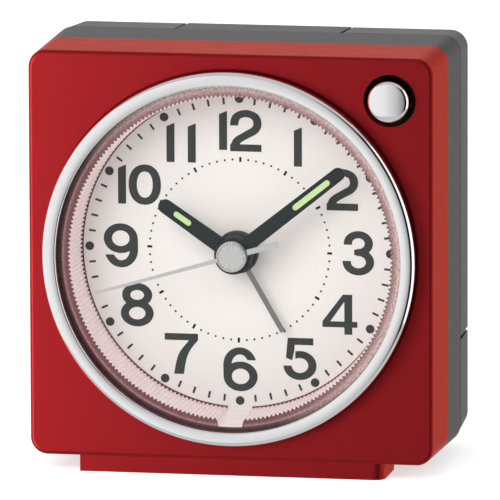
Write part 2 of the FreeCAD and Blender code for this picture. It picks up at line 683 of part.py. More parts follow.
UP, RIGHT, DOWN, LEFT = 0, math.pi / 2, math.pi, -math.pi / 2
PIVOT = size("pivot_radius")
TAIL_PIVOT = size("tail_pivot")
GAP = size("running_gap")
PLAY = size("spindle_play")
BRIDGE_BACK = size("bridge_front + bridge_sheet")
PLATE_FRONT = size("plate_front")
PLATE_BACK = size("plate_front + plate_sheet")
PLATE_REAR = size("plate_rear")
INTERMEDIATE_Z = size("seconds_module * 24")
ROTOR_Z = size("seconds_module * 24 + rotor_module * 28")
THIRD_Z = -size("third_module * 36")
RETURN_MODULE = size("third_module * 36 / 34")
TIME_X = -size("minute_module * 28")
ALARM_X = size("alarm_module * 30")
SEAT_RADIUS = 3.95
MAGNET_RADIUS = 2.8
ARBOR_RADIUS = 0.4
PIVOT_FRONT = 0.45
PIVOT_REAR = 0.8
SECOND_FRONT = 3.9
# Depths at which each toothed layer starts and ends.
LAYERS = {
    "alarm_pinion": (11.5, 12.5), "alarm_rim": (11.6, 12.4),
    "hour_pinion": (12.7, 14), "hour_rim": (12.9, 13.7),
    "cannon_rim": (14, 14.8), "minute_rim": (14, 14.8),
    "third_pinion": (15.7, 17), "centre_rim": (15.8, 16.4), "cannon_seat": (15.8, 16.4),
    "seconds_pinion": (16.8, 18.4), "third_rim": (17, 17.6),
    "intermediate_pinion": (18.2, 19.8), "seconds_rim": (18.4, 19),
    "rotor_pinion": (19.6, 21.05), "intermediate_rim": (19.8, 20.4), "rotor_magnet": (21, 23),
}


def arbor(x, z, radius):
    """Spindle between bridge and rear plate, with thinner pivots that run in both."""
    middle = pin(x, z, BRIDGE_BACK + GAP, PLATE_REAR - GAP, radius)
    return middle.fuse(pin(x, z, BRIDGE_BACK - PIVOT_FRONT, PLATE_REAR + PIVOT_REAR, PIVOT))


def shank(x, radius):
    """Knob spindle that runs in the front plate and ends inside its knob."""
    tail = PLATE_BACK + 2 * GAP
    return merged(pin(x, 0, tail, size("spindle_end"), radius),
                  pin(x, 0, PLATE_FRONT + GAP, tail, TAIL_PIVOT))


def merged(*shapes):
    return shapes[0].multiFuse(list(shapes[1:])).removeSplitter()


def make_going_train():
    """Rotor, intermediate, seconds, third and centre wheels, in mesh at rest."""
    seconds = size("seconds_module")
    third = size("third_module")
    rotor = size("rotor_module")
    intermediate_phase = mesh_phase(40, 0, 8, UP)
    rotor_phase = mesh_phase(48, 0, 8, UP)
    third_phase = mesh_phase(8, 0, 64, DOWN)
    centre_phase = mesh_phase(8, 0, 60, UP)

    spindle = merged(pin(0, 0, SECOND_FRONT, PLATE_REAR - GAP, size("second_spindle")),
                     pin(0, 0, PLATE_REAR - 2 * GAP, PLATE_REAR + PIVOT_REAR, PIVOT))
    formed(merged(wheel(8, third, SHIFT, 0, 0, 0, *LAYERS["seconds_pinion"]),
                  wheel(40, seconds, -SHIFT, 0, 0, 0, *LAYERS["seconds_rim"]), spindle), "seconds_wheel")
    formed(merged(wheel(8, seconds, SHIFT, intermediate_phase, 0, INTERMEDIATE_Z,
                        *LAYERS["intermediate_pinion"]),
                  wheel(48, rotor, -SHIFT, 0, 0, INTERMEDIATE_Z, *LAYERS["intermediate_rim"]),
                  arbor(0, INTERMEDIATE_Z, ARBOR_RADIUS)), "intermediate_wheel")
    formed(merged(wheel(8, rotor, SHIFT, rotor_phase, 0, ROTOR_Z, *LAYERS["rotor_pinion"]),
                  pin(0, ROTOR_Z, *LAYERS["rotor_magnet"], MAGNET_RADIUS),
                  arbor(0, ROTOR_Z, TAIL_PIVOT)), "rotor")
    formed(merged(wheel(8, RETURN_MODULE, SHIFT, 0, 0, THIRD_Z, *LAYERS["third_pinion"]),
                  wheel(64, third, -SHIFT, third_phase, 0, THIRD_Z, *LAYERS["third_rim"]),
                  arbor(0, THIRD_Z, ARBOR_RADIUS)), "third_wheel")
    rim = wheel(60, RETURN_MODULE, -SHIFT, centre_phase, 0, 0, *LAYERS["centre_rim"])
    formed(rim.cut(pin(0, 0, *LAYERS["centre_rim"], SEAT_RADIUS + GAP)), "centre_wheel")


def make_motion_work():
    """Cannon pinion, minute wheel and hour wheel, then the alarm's wheel and its setting pinion."""
    minute = size("minute_module")
    hour = size("hour_module")
    alarm = size("alarm_module")
    minute_phase = mesh_phase(14, 0, 42, LEFT)
    hour_phase = mesh_phase(10, 0, 40, RIGHT)
    alarm_phase = mesh_phase(40, 0, 20, RIGHT)
    cannon_end = LAYERS["cannon_seat"][1]
    hour_end = LAYERS["hour_rim"][1]
    alarm_end = LAYERS["alarm_rim"][1]

    def pipe(solid, front, end, bore):
        return solid.cut(pin(0, 0, front - GAP, end + GAP, bore + PLAY))

    front = size("minute_depth")
    cannon = merged(pin(0, 0, front, cannon_end, size("cannon_radius")),
                    wheel(14, minute, SHIFT, 0, 0, 0, *LAYERS["cannon_rim"]),
                    pin(0, 0, *LAYERS["cannon_seat"], SEAT_RADIUS))
    formed(pipe(cannon, front, cannon_end, size("second_spindle")), "cannon_pinion")
    formed(merged(wheel(10, hour, SHIFT, 0, TIME_X, 0, *LAYERS["hour_pinion"]),
                  wheel(42, minute, -SHIFT, minute_phase, TIME_X, 0, *LAYERS["minute_rim"]),
                  shank(TIME_X, size("time_spindle"))), "minute_wheel")
    front = size("hour_depth")
    hour_wheel = merged(pin(0, 0, front, hour_end, size("hour_pipe")),
                        wheel(40, hour, -SHIFT, hour_phase, 0, 0, *LAYERS["hour_rim"]))
    formed(pipe(hour_wheel, front, hour_end, size("cannon_radius")), "hour_wheel")
    front = size("alarm_depth")
    alarm_wheel = merged(pin(0, 0, front, alarm_end, size("alarm_pipe")),
                         wheel(40, alarm, -SHIFT, 0, 0, 0, *LAYERS["alarm_rim"]))
    formed(pipe(alarm_wheel, front, alarm_end, size("hour_pipe")), "alarm_wheel")
    formed(merged(wheel(20, alarm, SHIFT, alarm_phase, ALARM_X, 0, *LAYERS["alarm_pinion"]),
                  shank(ALARM_X, size("alarm_spindle"))), "alarm_pinion")


PILLARS = [(side + "pillar_x", level)
           for side in ("", "-1 * ") for level in ("-1 * pillar_low", "pillar_high")]
TRAIN_PIVOTS = [("0", "seconds_module * 24"), ("0", "seconds_module * 24 + rotor_module * 28"),
                ("0", "-36 * third_module")]


def screw(x, z, tip, seat, radius, head):
    """Plain screw whose head sits a hair behind its seat."""
    return join(shaft(x, z, tip, f"{seat} + slack", radius),
                shaft(x, z, f"{seat} + head_play", f"{seat} + head_height", head))


def make_plates():
    """Front plate with its pillars, the bridge on their shoulders, and the rear plate."""
    front_back = "plate_front + plate_sheet"
    plate = box("-1 * plate_half", "plate_half", "plate_front", front_back, "-1 * plate_reach", "plate_reach")
    shoulders = [shaft(x, z, "plate_front + merge", "bridge_front", "shoulder_radius") for x, z in PILLARS]
    posts = [shaft(x, z, "bridge_front", "plate_rear", "pillar_radius") for x, z in PILLARS]
    bores = [("0", "0", "alarm_pipe"), ("-28 * minute_module", "0", "tail_pivot"),
             ("30 * alarm_module", "0", "tail_pivot")]
    holes = [shaft(x, z, "plate_front", front_back, radius + " + running_gap") for x, z, radius in bores]
    holes += [shaft(x, z, "plate_front", front_back, "stud_pilot + screw_play") for x, z in STUDS]
    holes += [shaft(x, z, "plate_rear - bridge_bore", "plate_rear", "bridge_screw") for x, z in PILLARS]
    keep(cut(join(plate, *shoulders, *posts), *holes), "movement_front_plate")

    bridge_back = "bridge_front + bridge_sheet"
    bridge = box("-1 * bridge_half", "bridge_half", "bridge_front", bridge_back,
                 "-1 * bridge_low", "bridge_high")
    knob_bores = [("-28 * minute_module", "0", "time_spindle"), ("30 * alarm_module", "0", "alarm_spindle")]
    pivots = [(x, z, "pivot_radius") for x, z in TRAIN_PIVOTS]
    bores = [("0", "0", "cannon_radius")] + knob_bores + pivots
    bores += [(x, z, "pillar_radius") for x, z in PILLARS]
    holes = [shaft(x, z, "bridge_front", bridge_back, radius + " + running_gap") for x, z, radius in bores]
    keep(cut(bridge, *holes), "train_bridge")

    rear_back = "plate_rear + plate_sheet"
    rear = box("-1 * plate_half", "plate_half", "plate_rear", rear_back, "-1 * rear_low", "rear_high")
    bores = [("0", "0", "pivot_radius")] + knob_bores + pivots
    holes = [shaft(x, z, "plate_rear", rear_back, radius + " + running_gap") for x, z, radius in bores]
    holes += [shaft(x, z, "plate_rear", rear_back, "bridge_screw + screw_play") for x, z in PILLARS]
    keep(cut(rear, *holes), "movement_rear_plate")

    screws = [screw(x, z, "plate_rear - bridge_bore + merge", rear_back, "bridge_screw", "bridge_head")
              for x, z in PILLARS]
    keep(group(*screws), "movement_screws")
    screws = [screw(x, z, "plate_front - stud_bore + merge", front_back, "stud_pilot", "small_head")
              for x, z in STUDS]
    keep(group(*screws), "plate_screws")


def make_motor():
    """Stator plates round the rotor, the coil core and its wound bobbin."""
    stator_back = "stator_front + stator_sheet"
    outer = box("-1 * stator_half", "stator_half", "stator_front", stator_back, "stator_low", "stator_high")
    window = box("-1 * window_half", "window_half", "stator_front", stator_back, "window_low", "stator_high")
    hole = shaft("0", "seconds_module * 24 + rotor_module * 28", "stator_front", stator_back, "rotor_hole")
    keep(cut(outer, window, hole), "stator")

    def around(half, margin):
        return box(f"-1 * ({half})", half, f"core_front - {margin}", f"core_rear + {margin}",
                   f"core_low - {margin}", f"core_high + {margin}")

    middle = ("(core_front + core_rear) / 2", "(core_low + core_high) / 2")
    keep(around("stator_half", "0"), "coil_core")
    cheeks = [rod("x", x, *middle, "cheek_radius", "coil_wall")
              for x in ("-1 * coil_half", "coil_half - coil_wall")]
    bobbin = join(around("coil_half", "coil_wall"), *cheeks)
    keep(cut(bobbin, around("coil_half + slack", "coil_gap")), "coil_bobbin")
    inside = "(coil_half - coil_wall - coil_gap)"
    winding = rod("x", f"-1 * {inside}", *middle, "winding_radius", f"2 * {inside}")
    keep(cut(winding, around("coil_half", "(coil_wall + head_play)")), "coil_winding")


# ---------------------------------------------------------------- hands

def hand(node, turn, front, sheet_size, blade, hub, bore, boss_back, boss_radius):
    """Flat hand turned clockwise from twelve o'clock; blade is its outline pointing up."""
    body = new_body(node)
    pad(body, front, f"{front} + {sheet_size}", blade)
    pad(body, front, f"{front} + {sheet_size}", circle("0", "0", hub))
    pad(body, front, f"{front} + {boss_back}", circle("0", "0", boss_radius))
    pocket(body, front, f"{front} + {boss_back}", circle("0", "0", bore))
    keep(body, node)
    body.Placement.Rotation = Rotation(Vector(0, 1, 0), turn)


def bar(half_width, low, high):
    return rectangle(f"-1 * {half_width}", low, half_width, high)


def make_hands():
    hand("alarm_hand", 150, "alarm_depth", "alarm_sheet", bar("alarm_half", "0", "alarm_reach"),
         "alarm_hub", "alarm_pipe + hand_play", "1.3", "alarm_pipe + merge")
    hand("hour_hand", 304.3, "hour_depth", "blade_sheet", bar("hour_half", "0", "hour_reach"),
         "hub_radius", "hour_pipe + hand_play", "1.2", "hour_pipe + boss_wall")
    hand("minute_hand", 51.5, "minute_depth", "blade_sheet", bar("minute_half", "0", "minute_reach"),
         "hub_radius", "cannon_radius + hand_play", "1.1", "cannon_radius + boss_wall")
    second = bar("second_half", "-1 * second_tail", "second_reach")
    hand("second_hand", 253.6, "second_depth", "thin_sheet", second,
         "second_hub", "second_spindle + hand_play", "0.5", "second_spindle + merge")
    cap = new_body("hub_cap")
    cap_back = "cap_front + cap_height"
    pad(cap, "cap_front", cap_back, circle("0", "0", "cap_radius"))
    round_edges(cap, "cap_round", at_depth("cap_front"))
    pad(cap, f"{cap_back} - running_gap", f"{cap_back} + screw_play", circle("0", "0", "second_spindle"))
    keep(cap, "hub_cap")


# ---------------------------------------------------------------- knobs, electrics, battery

KNOB_NOTCHES = 12


def make_knob(node, x, spindle):
    """Setting knob with finger notches round its rim, pressed on the end of a spindle."""
    knob = new_body(node)
    front = "cup_floor + cup_sheet + knob_clearance"
    rear = f"{CASE_END} - knob_recess"
    pad(knob, front, rear, circle(x, "0", "knob_radius"))
    turns = [math.tau * i / KNOB_NOTCHES for i in range(KNOB_NOTCHES)]
    pocket(knob, front, rear,
           *[circle(f"{x} + notch_ring * {math.cos(turn):.4f}", f"notch_ring * {math.sin(turn):.4f}",
                    "notch_radius") for turn in turns])
    pocket(knob, front, "spindle_end + running_gap", circle(x, "0", f"{spindle} + hand_play"))
    keep(knob, node)


def make_board():
    """Circuit board on the back cover's posts, with its chip and the quartz crystal."""
    board = box("-1 * board_west", "board_east", "board_front", "board_front + board_sheet", "board_south",
                "board_north")
    holes = [shaft(x, z, "board_front", "board_front + board_sheet", "stud_pilot + screw_play")
             for x, z in BOARD_POSTS]
    keep(cut(board, *holes), "circuit_board")
    screws = [join(shaft(x, z, "board_front - slack", "board_front + board_screw", "stud_pilot"),
                   shaft(x, z, "board_front - plate_sheet", "board_front - head_play", "small_head"))
              for x, z in BOARD_POSTS]
    keep(group(*screws), "board_screws")
    keep(cone("0", "chip_z", "board_front - plate_sheet", "board_front - head_play",
              "chip_front", "chip_radius"), "sealed_chip")
    keep(rod("x", "can_x", "board_front - can_radius - slack", "can_z", "can_radius", "can_length"),
         "quartz_crystal")


def make_sounder():
    can = shaft("0", "buzzer_z", "buzzer_front", "buzzer_rear", "buzzer_radius")
    port = shaft("0", "buzzer_z", "buzzer_rear - port_depth", "buzzer_rear", "buzzer_port")
    keep(cut(can, port), "buzzer")


def make_alarm_switch():
    """Slide switch: grooved body on the board and a slider whose thumb cap sits outside the back cover."""
    def block(half, front, rear, height):
        return box(f"slider_x - {half}", f"slider_x + {half}", front, rear,
                   f"slider_z - {height}", f"slider_z + {height}")

    body_front = "board_front + board_sheet + head_play"
    body_rear = "body_depth + board_front + board_sheet"
    base = box("slider_x - body_half", "slider_x - body_half + body_length", body_front, body_rear,
               "slider_z - body_half", "slider_z + body_half")
    groove = box("slider_x - slider_half", "slider_x + slider_half + slider_travel",
                 f"{body_rear} - groove_depth", body_rear,
                 "slider_z - track_height", "slider_z + track_height")
    keep(cut(base, groove), "alarm_switch_body")
    cap_rear = f"{CASE_END} - running_gap - ridge_height"
    slider = join(block("stem_half", f"{body_rear} - groove_depth + 2 * slack", f"{CASE_END} - plate_sheet",
                        "stem_height"),
                  block("flange_half", f"{REAR_WALL} - plate_sheet", f"{REAR_WALL} - slack", "slider_half"),
                  block("cap_half", f"{CASE_END} - recess_depth + running_gap", cap_rear, "slider_half"),
                  block("ridge_half", f"{cap_rear} - running_gap", f"{CASE_END} - running_gap",
                        "slider_half"))
    keep(slider, "alarm_switch_slider")


def make_lamp():
    flange = rod("z", "0", "lamp_depth", "lamp_foot", "lamp_flange", "lamp_sheet")
    bulb = rod("z", "0", "lamp_depth", "lamp_foot", "lamp_radius", "lamp_height")
    keep(join(flange, bulb), "dial_lamp")


def make_battery():
    """One AA cell along x, its two contacts and the negative contact's spring."""
    plus_end = "bay_half - cell_gap"
    can = rod("x", f"{plus_end} - cell_length", "cell_depth", "cell_z", "cell_radius", "cell_length")
    nub = rod("x", plus_end, "cell_depth", "cell_z", "nub_radius", "nub_length")
    keep(join(can, nub), "battery_cell")
    plates = [("positive_contact", "bay_half - plus_gap - plus_sheet", "bay_half - plus_gap"),
              ("negative_contact", "-1 * bay_half + plus_gap", "-1 * bay_half + plus_gap + minus_sheet")]
    for node, left, right in plates:
        plate = box(left, right, "contact_near", "contact_far",
                    "cell_z - contact_half", "cell_z + contact_half")
        tail = box(left, right, "tail_front", "contact_near",
                   "cell_z - contact_tail", "cell_z + contact_tail")
        keep(join(plate, tail), node)
    wire = 0.3
    play = wire + COIL_PLAY
    start = size("-1 * bay_half + plus_gap + minus_sheet") + play
    stop = size(f"{plus_end} - cell_length") - play
    spring = coil(size("bay_coil"), wire, start, stop - start, 3)
    spring.rotate(Vector(), Vector(0, 1, 0), 90)
    spring.translate(Vector(0, size("cell_depth"), size("cell_z")))
    formed(spring, "contact_spring")


LEAD_RADIUS = 0.45
BATTERY_LEAD_X = 27
# Way of a lead as (depth, z), from a battery contact up beside the movement.
BATTERY_LEAD_WAY = ((20.4, -29), (18.2, -26), (18, -5), (20, 0))
SWITCH_LEAD_ENDS = ((27.2, 14), (25.4, 20))


def lead(*points):
    return wire_along(LEAD_RADIUS, [Vector(*point) for point in points])


def make_leads():
    battery = [lead(*[(side * BATTERY_LEAD_X, depth, z) for depth, z in BATTERY_LEAD_WAY], (end, 27.4, 8))
               for side, end in ((1, 19), (-1, -26))]
    formed(Part.makeCompound(battery), "battery_leads")
    switch = [lead((x, 13.5, 27), (x, 18, 26), (x - 0.8, 23, end + 5), (x - 2.4, 26.2, end + 2),
                   (x - 8, 27.4, end)) for x, end in SWITCH_LEAD_ENDS]
    formed(Part.makeCompound(switch), "switch_leads")


def make_case_screws():
    """Four cross-slotted screws that clamp the middle shell and the back cover to the front shell's posts."""
    seat = f"{SHELF} + shelf_sheet"
    head_back = f"{seat} + case_head_height + slack"
    screws = []
    for x, z in POSTS:
        body = join(shaft(x, z, "post_end - case_screw_length", f"{seat} + slack", "case_screw"),
                    shaft(x, z, f"{seat} + head_play", head_back, "case_head"))
        slots = [box(f"{x} - {across}", f"{x} + {across}", f"{head_back} - slot_deep", f"{head_back} + slack",
                     f"{z} - {along}", f"{z} + {along}")
                 for across, along in (("slot_reach", "slot_half"), ("slot_half", "slot_reach"))]
        screws.append(cut(body, *slots))
    keep(group(*screws), "case_screws")


# ---------------------------------------------------------------- assembly

make_front_case()
make_mid_case()
make_back_cover()
make_battery_door()
make_seam_gasket()
make_bezel_ring()
make_lens()
make_dial()
make_snooze_button()
make_button_spring()
make_snooze_switch()
make_going_train()
make_motion_work()
make_plates()
make_motor()
make_hands()
make_knob("time_knob", "-28 * minute_module", "time_spindle")
make_knob("alarm_knob", "30 * alarm_module", "alarm_spindle")
make_board()
make_sounder()
make_alarm_switch()
make_lamp()
make_battery()
make_leads()
make_case_screws()

doc.recompute()
for item in doc.Objects:
    if "Invalid" in item.State or "Error" in item.State:
        raise RuntimeError(f"{item.Label} failed: {item.State}")
for piece in PIECES:
    if piece.Shape.isNull() or not piece.Shape.isValid():
        raise RuntimeError(f"{piece.Label} has no valid shape")

os.makedirs("parts", exist_ok=True)
for piece in PIECES:
    piece.Shape.exportStep(os.path.join("parts", piece.Label + ".step"))
print(len(PIECES), "pieces written")
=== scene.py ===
import json
import math

import bmesh
import bpy
import numpy as np
from mathutils import Matrix, Vector


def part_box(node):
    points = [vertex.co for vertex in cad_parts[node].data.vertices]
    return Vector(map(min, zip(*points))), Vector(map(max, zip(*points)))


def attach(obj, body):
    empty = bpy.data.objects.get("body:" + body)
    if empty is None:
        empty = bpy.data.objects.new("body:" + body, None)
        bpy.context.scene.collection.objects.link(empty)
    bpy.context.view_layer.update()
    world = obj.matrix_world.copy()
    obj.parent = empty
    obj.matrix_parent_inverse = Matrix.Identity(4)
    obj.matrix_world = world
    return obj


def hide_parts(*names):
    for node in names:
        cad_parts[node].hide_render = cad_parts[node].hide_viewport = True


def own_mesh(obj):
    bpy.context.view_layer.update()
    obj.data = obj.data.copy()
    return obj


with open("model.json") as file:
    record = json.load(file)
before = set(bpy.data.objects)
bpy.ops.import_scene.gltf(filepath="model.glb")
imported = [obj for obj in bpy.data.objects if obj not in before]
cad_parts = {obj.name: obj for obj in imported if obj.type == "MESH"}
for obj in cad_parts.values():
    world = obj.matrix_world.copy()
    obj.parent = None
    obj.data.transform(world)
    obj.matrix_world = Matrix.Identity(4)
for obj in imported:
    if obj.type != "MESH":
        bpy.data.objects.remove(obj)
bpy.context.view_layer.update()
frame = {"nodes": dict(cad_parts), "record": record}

# A travel alarm clock. Lengths are millimetres, measured from the hands' axis on the face of the case:
# x to the right, d as the depth behind the face, z up. spot() carries a point into the row frame.

MM = 0.001
RING_CROWN = 3.2
NODES = frame["nodes"]
ring_low, ring_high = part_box("bezel_ring")
FACE = ring_low.y + RING_CROWN * MM
AXIS_X = (ring_low.x + ring_high.x) / 2
AXIS_Z = (ring_low.z + ring_high.z) / 2


def spot(x, d, z):
    return Vector((AXIS_X + x * MM, FACE + d * MM, AXIS_Z + z * MM))


# ---------------------------------------------------------------- materials

class Look:
    """A node material: one Principled surface, with helpers that add nodes to it."""

    def __init__(self, name, colour, roughness, metallic=0.0, **inputs):
        self.material = bpy.data.materials.new(name)
        self.material.use_nodes = True
        self.tree = self.material.node_tree
        self.surface = self.tree.nodes["Principled BSDF"]
        self.coords = None
        self.put("Base Color", (*colour, 1))
        self.put("Roughness", roughness)
        self.put("Metallic", metallic)
        for key, value in inputs.items():
            self.put(key.replace("_", " "), value)

    def put(self, socket, value):
        self.surface.inputs[socket].default_value = value

    def node(self, kind, settings=None, **inputs):
        made = self.tree.nodes.new("ShaderNode" + kind)
        for key, value in (settings or {}).items():
            setattr(made, key, value)
        for key, value in inputs.items():
            self.feed(made.inputs[int(key[1:]) if key[0] == "_" else key.replace("_", " ")], value)
        return made

    def feed(self, socket, value):
        if isinstance(value, bpy.types.NodeSocket):
            self.tree.links.new(value, socket)
        else:
            socket.default_value = value

    def math(self, operation, a, b=0.0):
        return self.node("Math", {"operation": operation}, _0=a, _1=b).outputs[0]

    def place(self):
        if self.coords is None:
            self.coords = self.node("TexCoord").outputs["Object"]
        return self.coords

    def noise(self, scale):
        return self.node("TexNoise", Vector=self.place(), Scale=scale, Detail=3.0).outputs["Fac"]

    def span(self, value, low, high, start=0.0, stop=1.0):
        return self.node("MapRange", Value=value, From_Min=low, From_Max=high,
                         To_Min=start, To_Max=stop).outputs[0]

    def mix(self, factor, a, b):
        made = self.node("Mix", {"data_type": "RGBA"})
        self.feed(made.inputs[0], factor)
        for index, value in ((6, a), (7, b)):
            self.feed(made.inputs[index], (*value, 1) if isinstance(value, tuple) else value)
        return made.outputs[2]

    def ramp(self, value, stops):
        made = self.node("ValToRGB", Fac=value)
        line = made.color_ramp.elements
        while len(line) < len(stops):
            line.new(1.0)
        for element, (at, colour) in zip(line, stops):
            element.position = at
            element.color = (*colour, 1)
        return made.outputs[0]

    def paint(self, value):
        self.feed(self.surface.inputs["Base Color"], value)

    def rough(self, value):
        self.feed(self.surface.inputs["Roughness"], value)

    def bump(self, height, strength, distance=0.0001):
        made = self.node("Bump", Height=height, Strength=strength, Distance=distance)
        self.feed(self.surface.inputs["Normal"], made.outputs[0])

    def polar(self):
        """Right, up and distance from the hands' axis in mm, and the angle, 0 right and anticlockwise."""
        apart = self.node("SeparateXYZ", Vector=self.place())
        x = self.math("MULTIPLY", self.math("SUBTRACT", apart.outputs[0], AXIS_X), 1 / MM)
        z = self.math("MULTIPLY", self.math("SUBTRACT", apart.outputs[2], AXIS_Z), 1 / MM)
        square = self.math("ADD", self.math("MULTIPLY", x, x), self.math("MULTIPLY", z, z))
        radius = self.math("SQRT", square)
        return x, z, radius, self.math("ARCTAN2", z, x)


MOTTLE = 0.05
FINE_BUMP = 0.00002


def moulded(name, colour, roughness, strength=0.25):
    """Moulded plastic: fine grain, slight mottling of colour and of shine."""
    look = Look(name, colour, roughness, Specular_IOR_Level=0.12)
    dark = tuple(part * (1 - MOTTLE) for part in colour)
    light = tuple(part * (1 + MOTTLE) for part in colour)
    look.paint(look.mix(look.noise(700.0), dark, light))
    look.rough(look.span(look.noise(1800.0), 0.3, 0.7, roughness - 0.04, roughness + 0.04))
    look.bump(look.noise(7200.0), strength)
    return look


def metal(name, colour, roughness):
    """Worked metal with a soft cloudy change of colour, shine and height."""
    look = Look(name, colour, roughness, 1.0)
    clouds = look.noise(400.0)
    look.rough(look.span(clouds, 0.2, 0.8, roughness * 0.7, roughness * 1.4))
    look.paint(look.mix(clouds, tuple(part * 0.85 for part in colour), colour))
    look.bump(clouds, 0.1, FINE_BUMP)
    return look


def red_lacquer():
    """Metal-flake lacquer, mixed towards a bright orange where it is seen at a grazing angle: a painted
    sheen.
    """
    look = Look("red_lacquer", (0.42, 0.012, 0.018), 0.36, 0.7, Specular_IOR_Level=0.06,
                Coat_Weight=0.06, Coat_Roughness=0.12, Coat_IOR=1.3)
    flakes = look.node("TexVoronoi", Vector=look.place(), Scale=5200.0).outputs["Distance"]
    flow = look.noise(35.0)
    base = look.mix(flow, (0.160, 0.0062, 0.0085), (0.180, 0.0074, 0.0100))
    sparkle = look.mix(look.span(flakes, 0.1, 0.9, 0.0, 0.35), base, (0.24, 0.014, 0.015))
    # Painted sheen: towards grazing angles the red is mixed into a bright orange.
    sheen_mask = look.node("LayerWeight", Blend=0.5).outputs["Facing"]
    look.paint(look.mix(look.span(sheen_mask, 0.12, 0.8), sparkle, (0.42, 0.045, 0.024)))
    look.put("Specular Tint", (1.0, 0.30, 0.20, 1))
    look.rough(look.span(look.noise(300.0), 0.3, 0.7, 0.36, 0.42))
    look.bump(look.noise(1500.0), 0.05, FINE_BUMP)
    return look


def chrome():
    look = Look("chrome_plate", (0.93, 0.93, 0.94), 0.04, 1.0)
    haze = look.noise(500.0)
    look.rough(look.span(haze, 0.3, 0.8, 0.03, 0.07))
    look.paint(look.mix(haze, (0.90, 0.90, 0.91), (0.95, 0.95, 0.96)))
    return look


def clear_plastic():
    """Thin clear sheet: see-through, with a mirror film that grows towards the rim by Fresnel."""
    look = Look("clear_sheet", (1, 1, 1), 0.03)
    through = look.node("BsdfTransparent", Color=(0.985, 0.985, 0.98, 1))
    shine = look.node("BsdfGlossy", Roughness=0.02, Color=(1, 1, 1, 1))
    haze = look.span(look.noise(90.0), 0.3, 0.7, 1.42, 1.46)
    film = look.math("MULTIPLY", look.node("Fresnel", IOR=haze).outputs[0], 0.15)
    blend = look.node("MixShader", _0=film, _1=through.outputs[0], _2=shine.outputs[0])
    look.feed(look.tree.nodes["Material Output"].inputs["Surface"], blend.outputs[0])
    return look


def dial_paint_shade_glow():
    """Matt warm white, darker towards the edge as painted shade near the skirt wall, with a faint painted
    glow strongest in the middle.
    """
    white = (0.80, 0.775, 0.75)
    look = Look("dial_lacquer_shade_glow", white, 0.55)
    grain = look.noise(2500.0)
    look.rough(look.span(grain, 0.3, 0.7, 0.5, 0.62))
    look.bump(grain, 0.08, FINE_BUMP)
    radius = look.polar()[2]
    middle = look.mix(look.noise(25.0), white, (0.83, 0.805, 0.785))
    # Painted shade: the white darkens towards the edge of the dial, by the skirt wall.
    look.paint(look.mix(look.span(radius, 12.0, 29.0), middle, (0.72, 0.70, 0.685)))
    # Painted light: the dial glows a little, most in the middle and fading out by the edge.
    look.put("Emission Color", (*white, 1))
    look.feed(look.surface.inputs["Emission Strength"], look.span(radius, 14.0, 31.0, 0.05, 0.0))
    return look


def skirt_face():
    """Front of the lens skirt, pink tinted, with concentric moulding rings; its colour holds painted light
    and shade: a shaded copy to the left and below, a lit copy to the right and above, a painted highlight
    line and a near-black painted shadow at the outer rim.
    """
    look = Look("skirt_tint_painted_light", (0.4, 0.15, 0.15), 0.28, 0.0, Coat_Weight=0.4, Coat_Roughness=0.1)
    x, z, radius, angle = look.polar()
    # Painted shade and painted light: a shaded ramp with a painted highlight line and a near-black painted
    # shadow at the rim, and a lit ramp.
    across = look.span(radius, 31.0, 33.4)
    shade = look.ramp(across, [(0.0, (0.12, 0.035, 0.04)), (0.20, (0.16, 0.045, 0.05)),
                               (0.42, (0.22, 0.07, 0.075)), (0.58, (0.48, 0.24, 0.25)),
                               (0.70, (0.09, 0.018, 0.022)), (0.92, (0.02, 0.004, 0.006))])
    lit = look.ramp(across, [(0.0, (0.14, 0.06, 0.065)), (0.16, (0.30, 0.16, 0.165)),
                             (0.40, (0.50, 0.31, 0.31)), (0.62, (0.72, 0.53, 0.52)),
                             (0.85, (0.74, 0.54, 0.53)), (1.0, (0.34, 0.19, 0.19))])
    side = look.math("ADD", look.math("MULTIPLY", x, 0.8), look.math("MULTIPLY", z, 0.6))
    place = look.node("CombineXYZ", X=look.math("MULTIPLY", angle, 60.0),
                      Y=look.math("MULTIPLY", radius, 2.5))
    weave = look.node("TexNoise", {"noise_dimensions": "2D"}, Vector=place.outputs[0], Scale=1.0, Detail=2.0)
    # Painted light and shade by position: the lit ramp to the right and above, the shaded ramp to the left
    # and below.
    painted_light_tone = look.mix(look.span(side, -12.0, 8.0), shade, lit)
    look.paint(look.mix(look.span(weave.outputs["Fac"], 0.35, 0.65, 0.0, 0.45), painted_light_tone, (0.10, 0.03, 0.035)))
    look.bump(look.math("SINE", look.math("MULTIPLY", radius, 24.0)), 0.15, 0.00005)
    return look


def skirt_wall():
    """Frosted inner wall of the skirt, pale with a pink cast, in fine ribs; it glows in its own colour as
    painted light for the light the clear wall scatters.
    """
    look = Look("skirt_frost_glow", (0.62, 0.52, 0.53), 0.45)
    angle = look.polar()[3]
    ribs = look.math("SINE", look.math("MULTIPLY", angle, 460.0))
    tint = look.mix(look.noise(700.0), (0.60, 0.50, 0.51), (0.74, 0.66, 0.66))
    shade = look.mix(look.span(ribs, -1.0, 1.0, 0.0, 0.35), tint, (0.42, 0.30, 0.31))
    look.paint(shade)
    # Painted light: the wall glows in its own colour, though it is no lamp.
    look.feed(look.surface.inputs["Emission Color"], shade)
    look.put("Emission Strength", 0.45)
    return look


def brushed_cap():
    """Hub cap with a radial sunburst of brush lines."""
    look = Look("hub_silver", (0.80, 0.80, 0.81), 0.3, 0.9)
    around = look.math("MULTIPLY", look.polar()[3], 9.0)
    rays = look.node("TexNoise", {"noise_dimensions": "1D"}, W=around, Scale=1.0, Detail=3.0).outputs["Fac"]
    look.paint(look.mix(look.span(rays, 0.3, 0.7), (0.62, 0.62, 0.63), (0.92, 0.92, 0.93)))
    look.rough(look.span(rays, 0.3, 0.7, 0.42, 0.25))
    return look


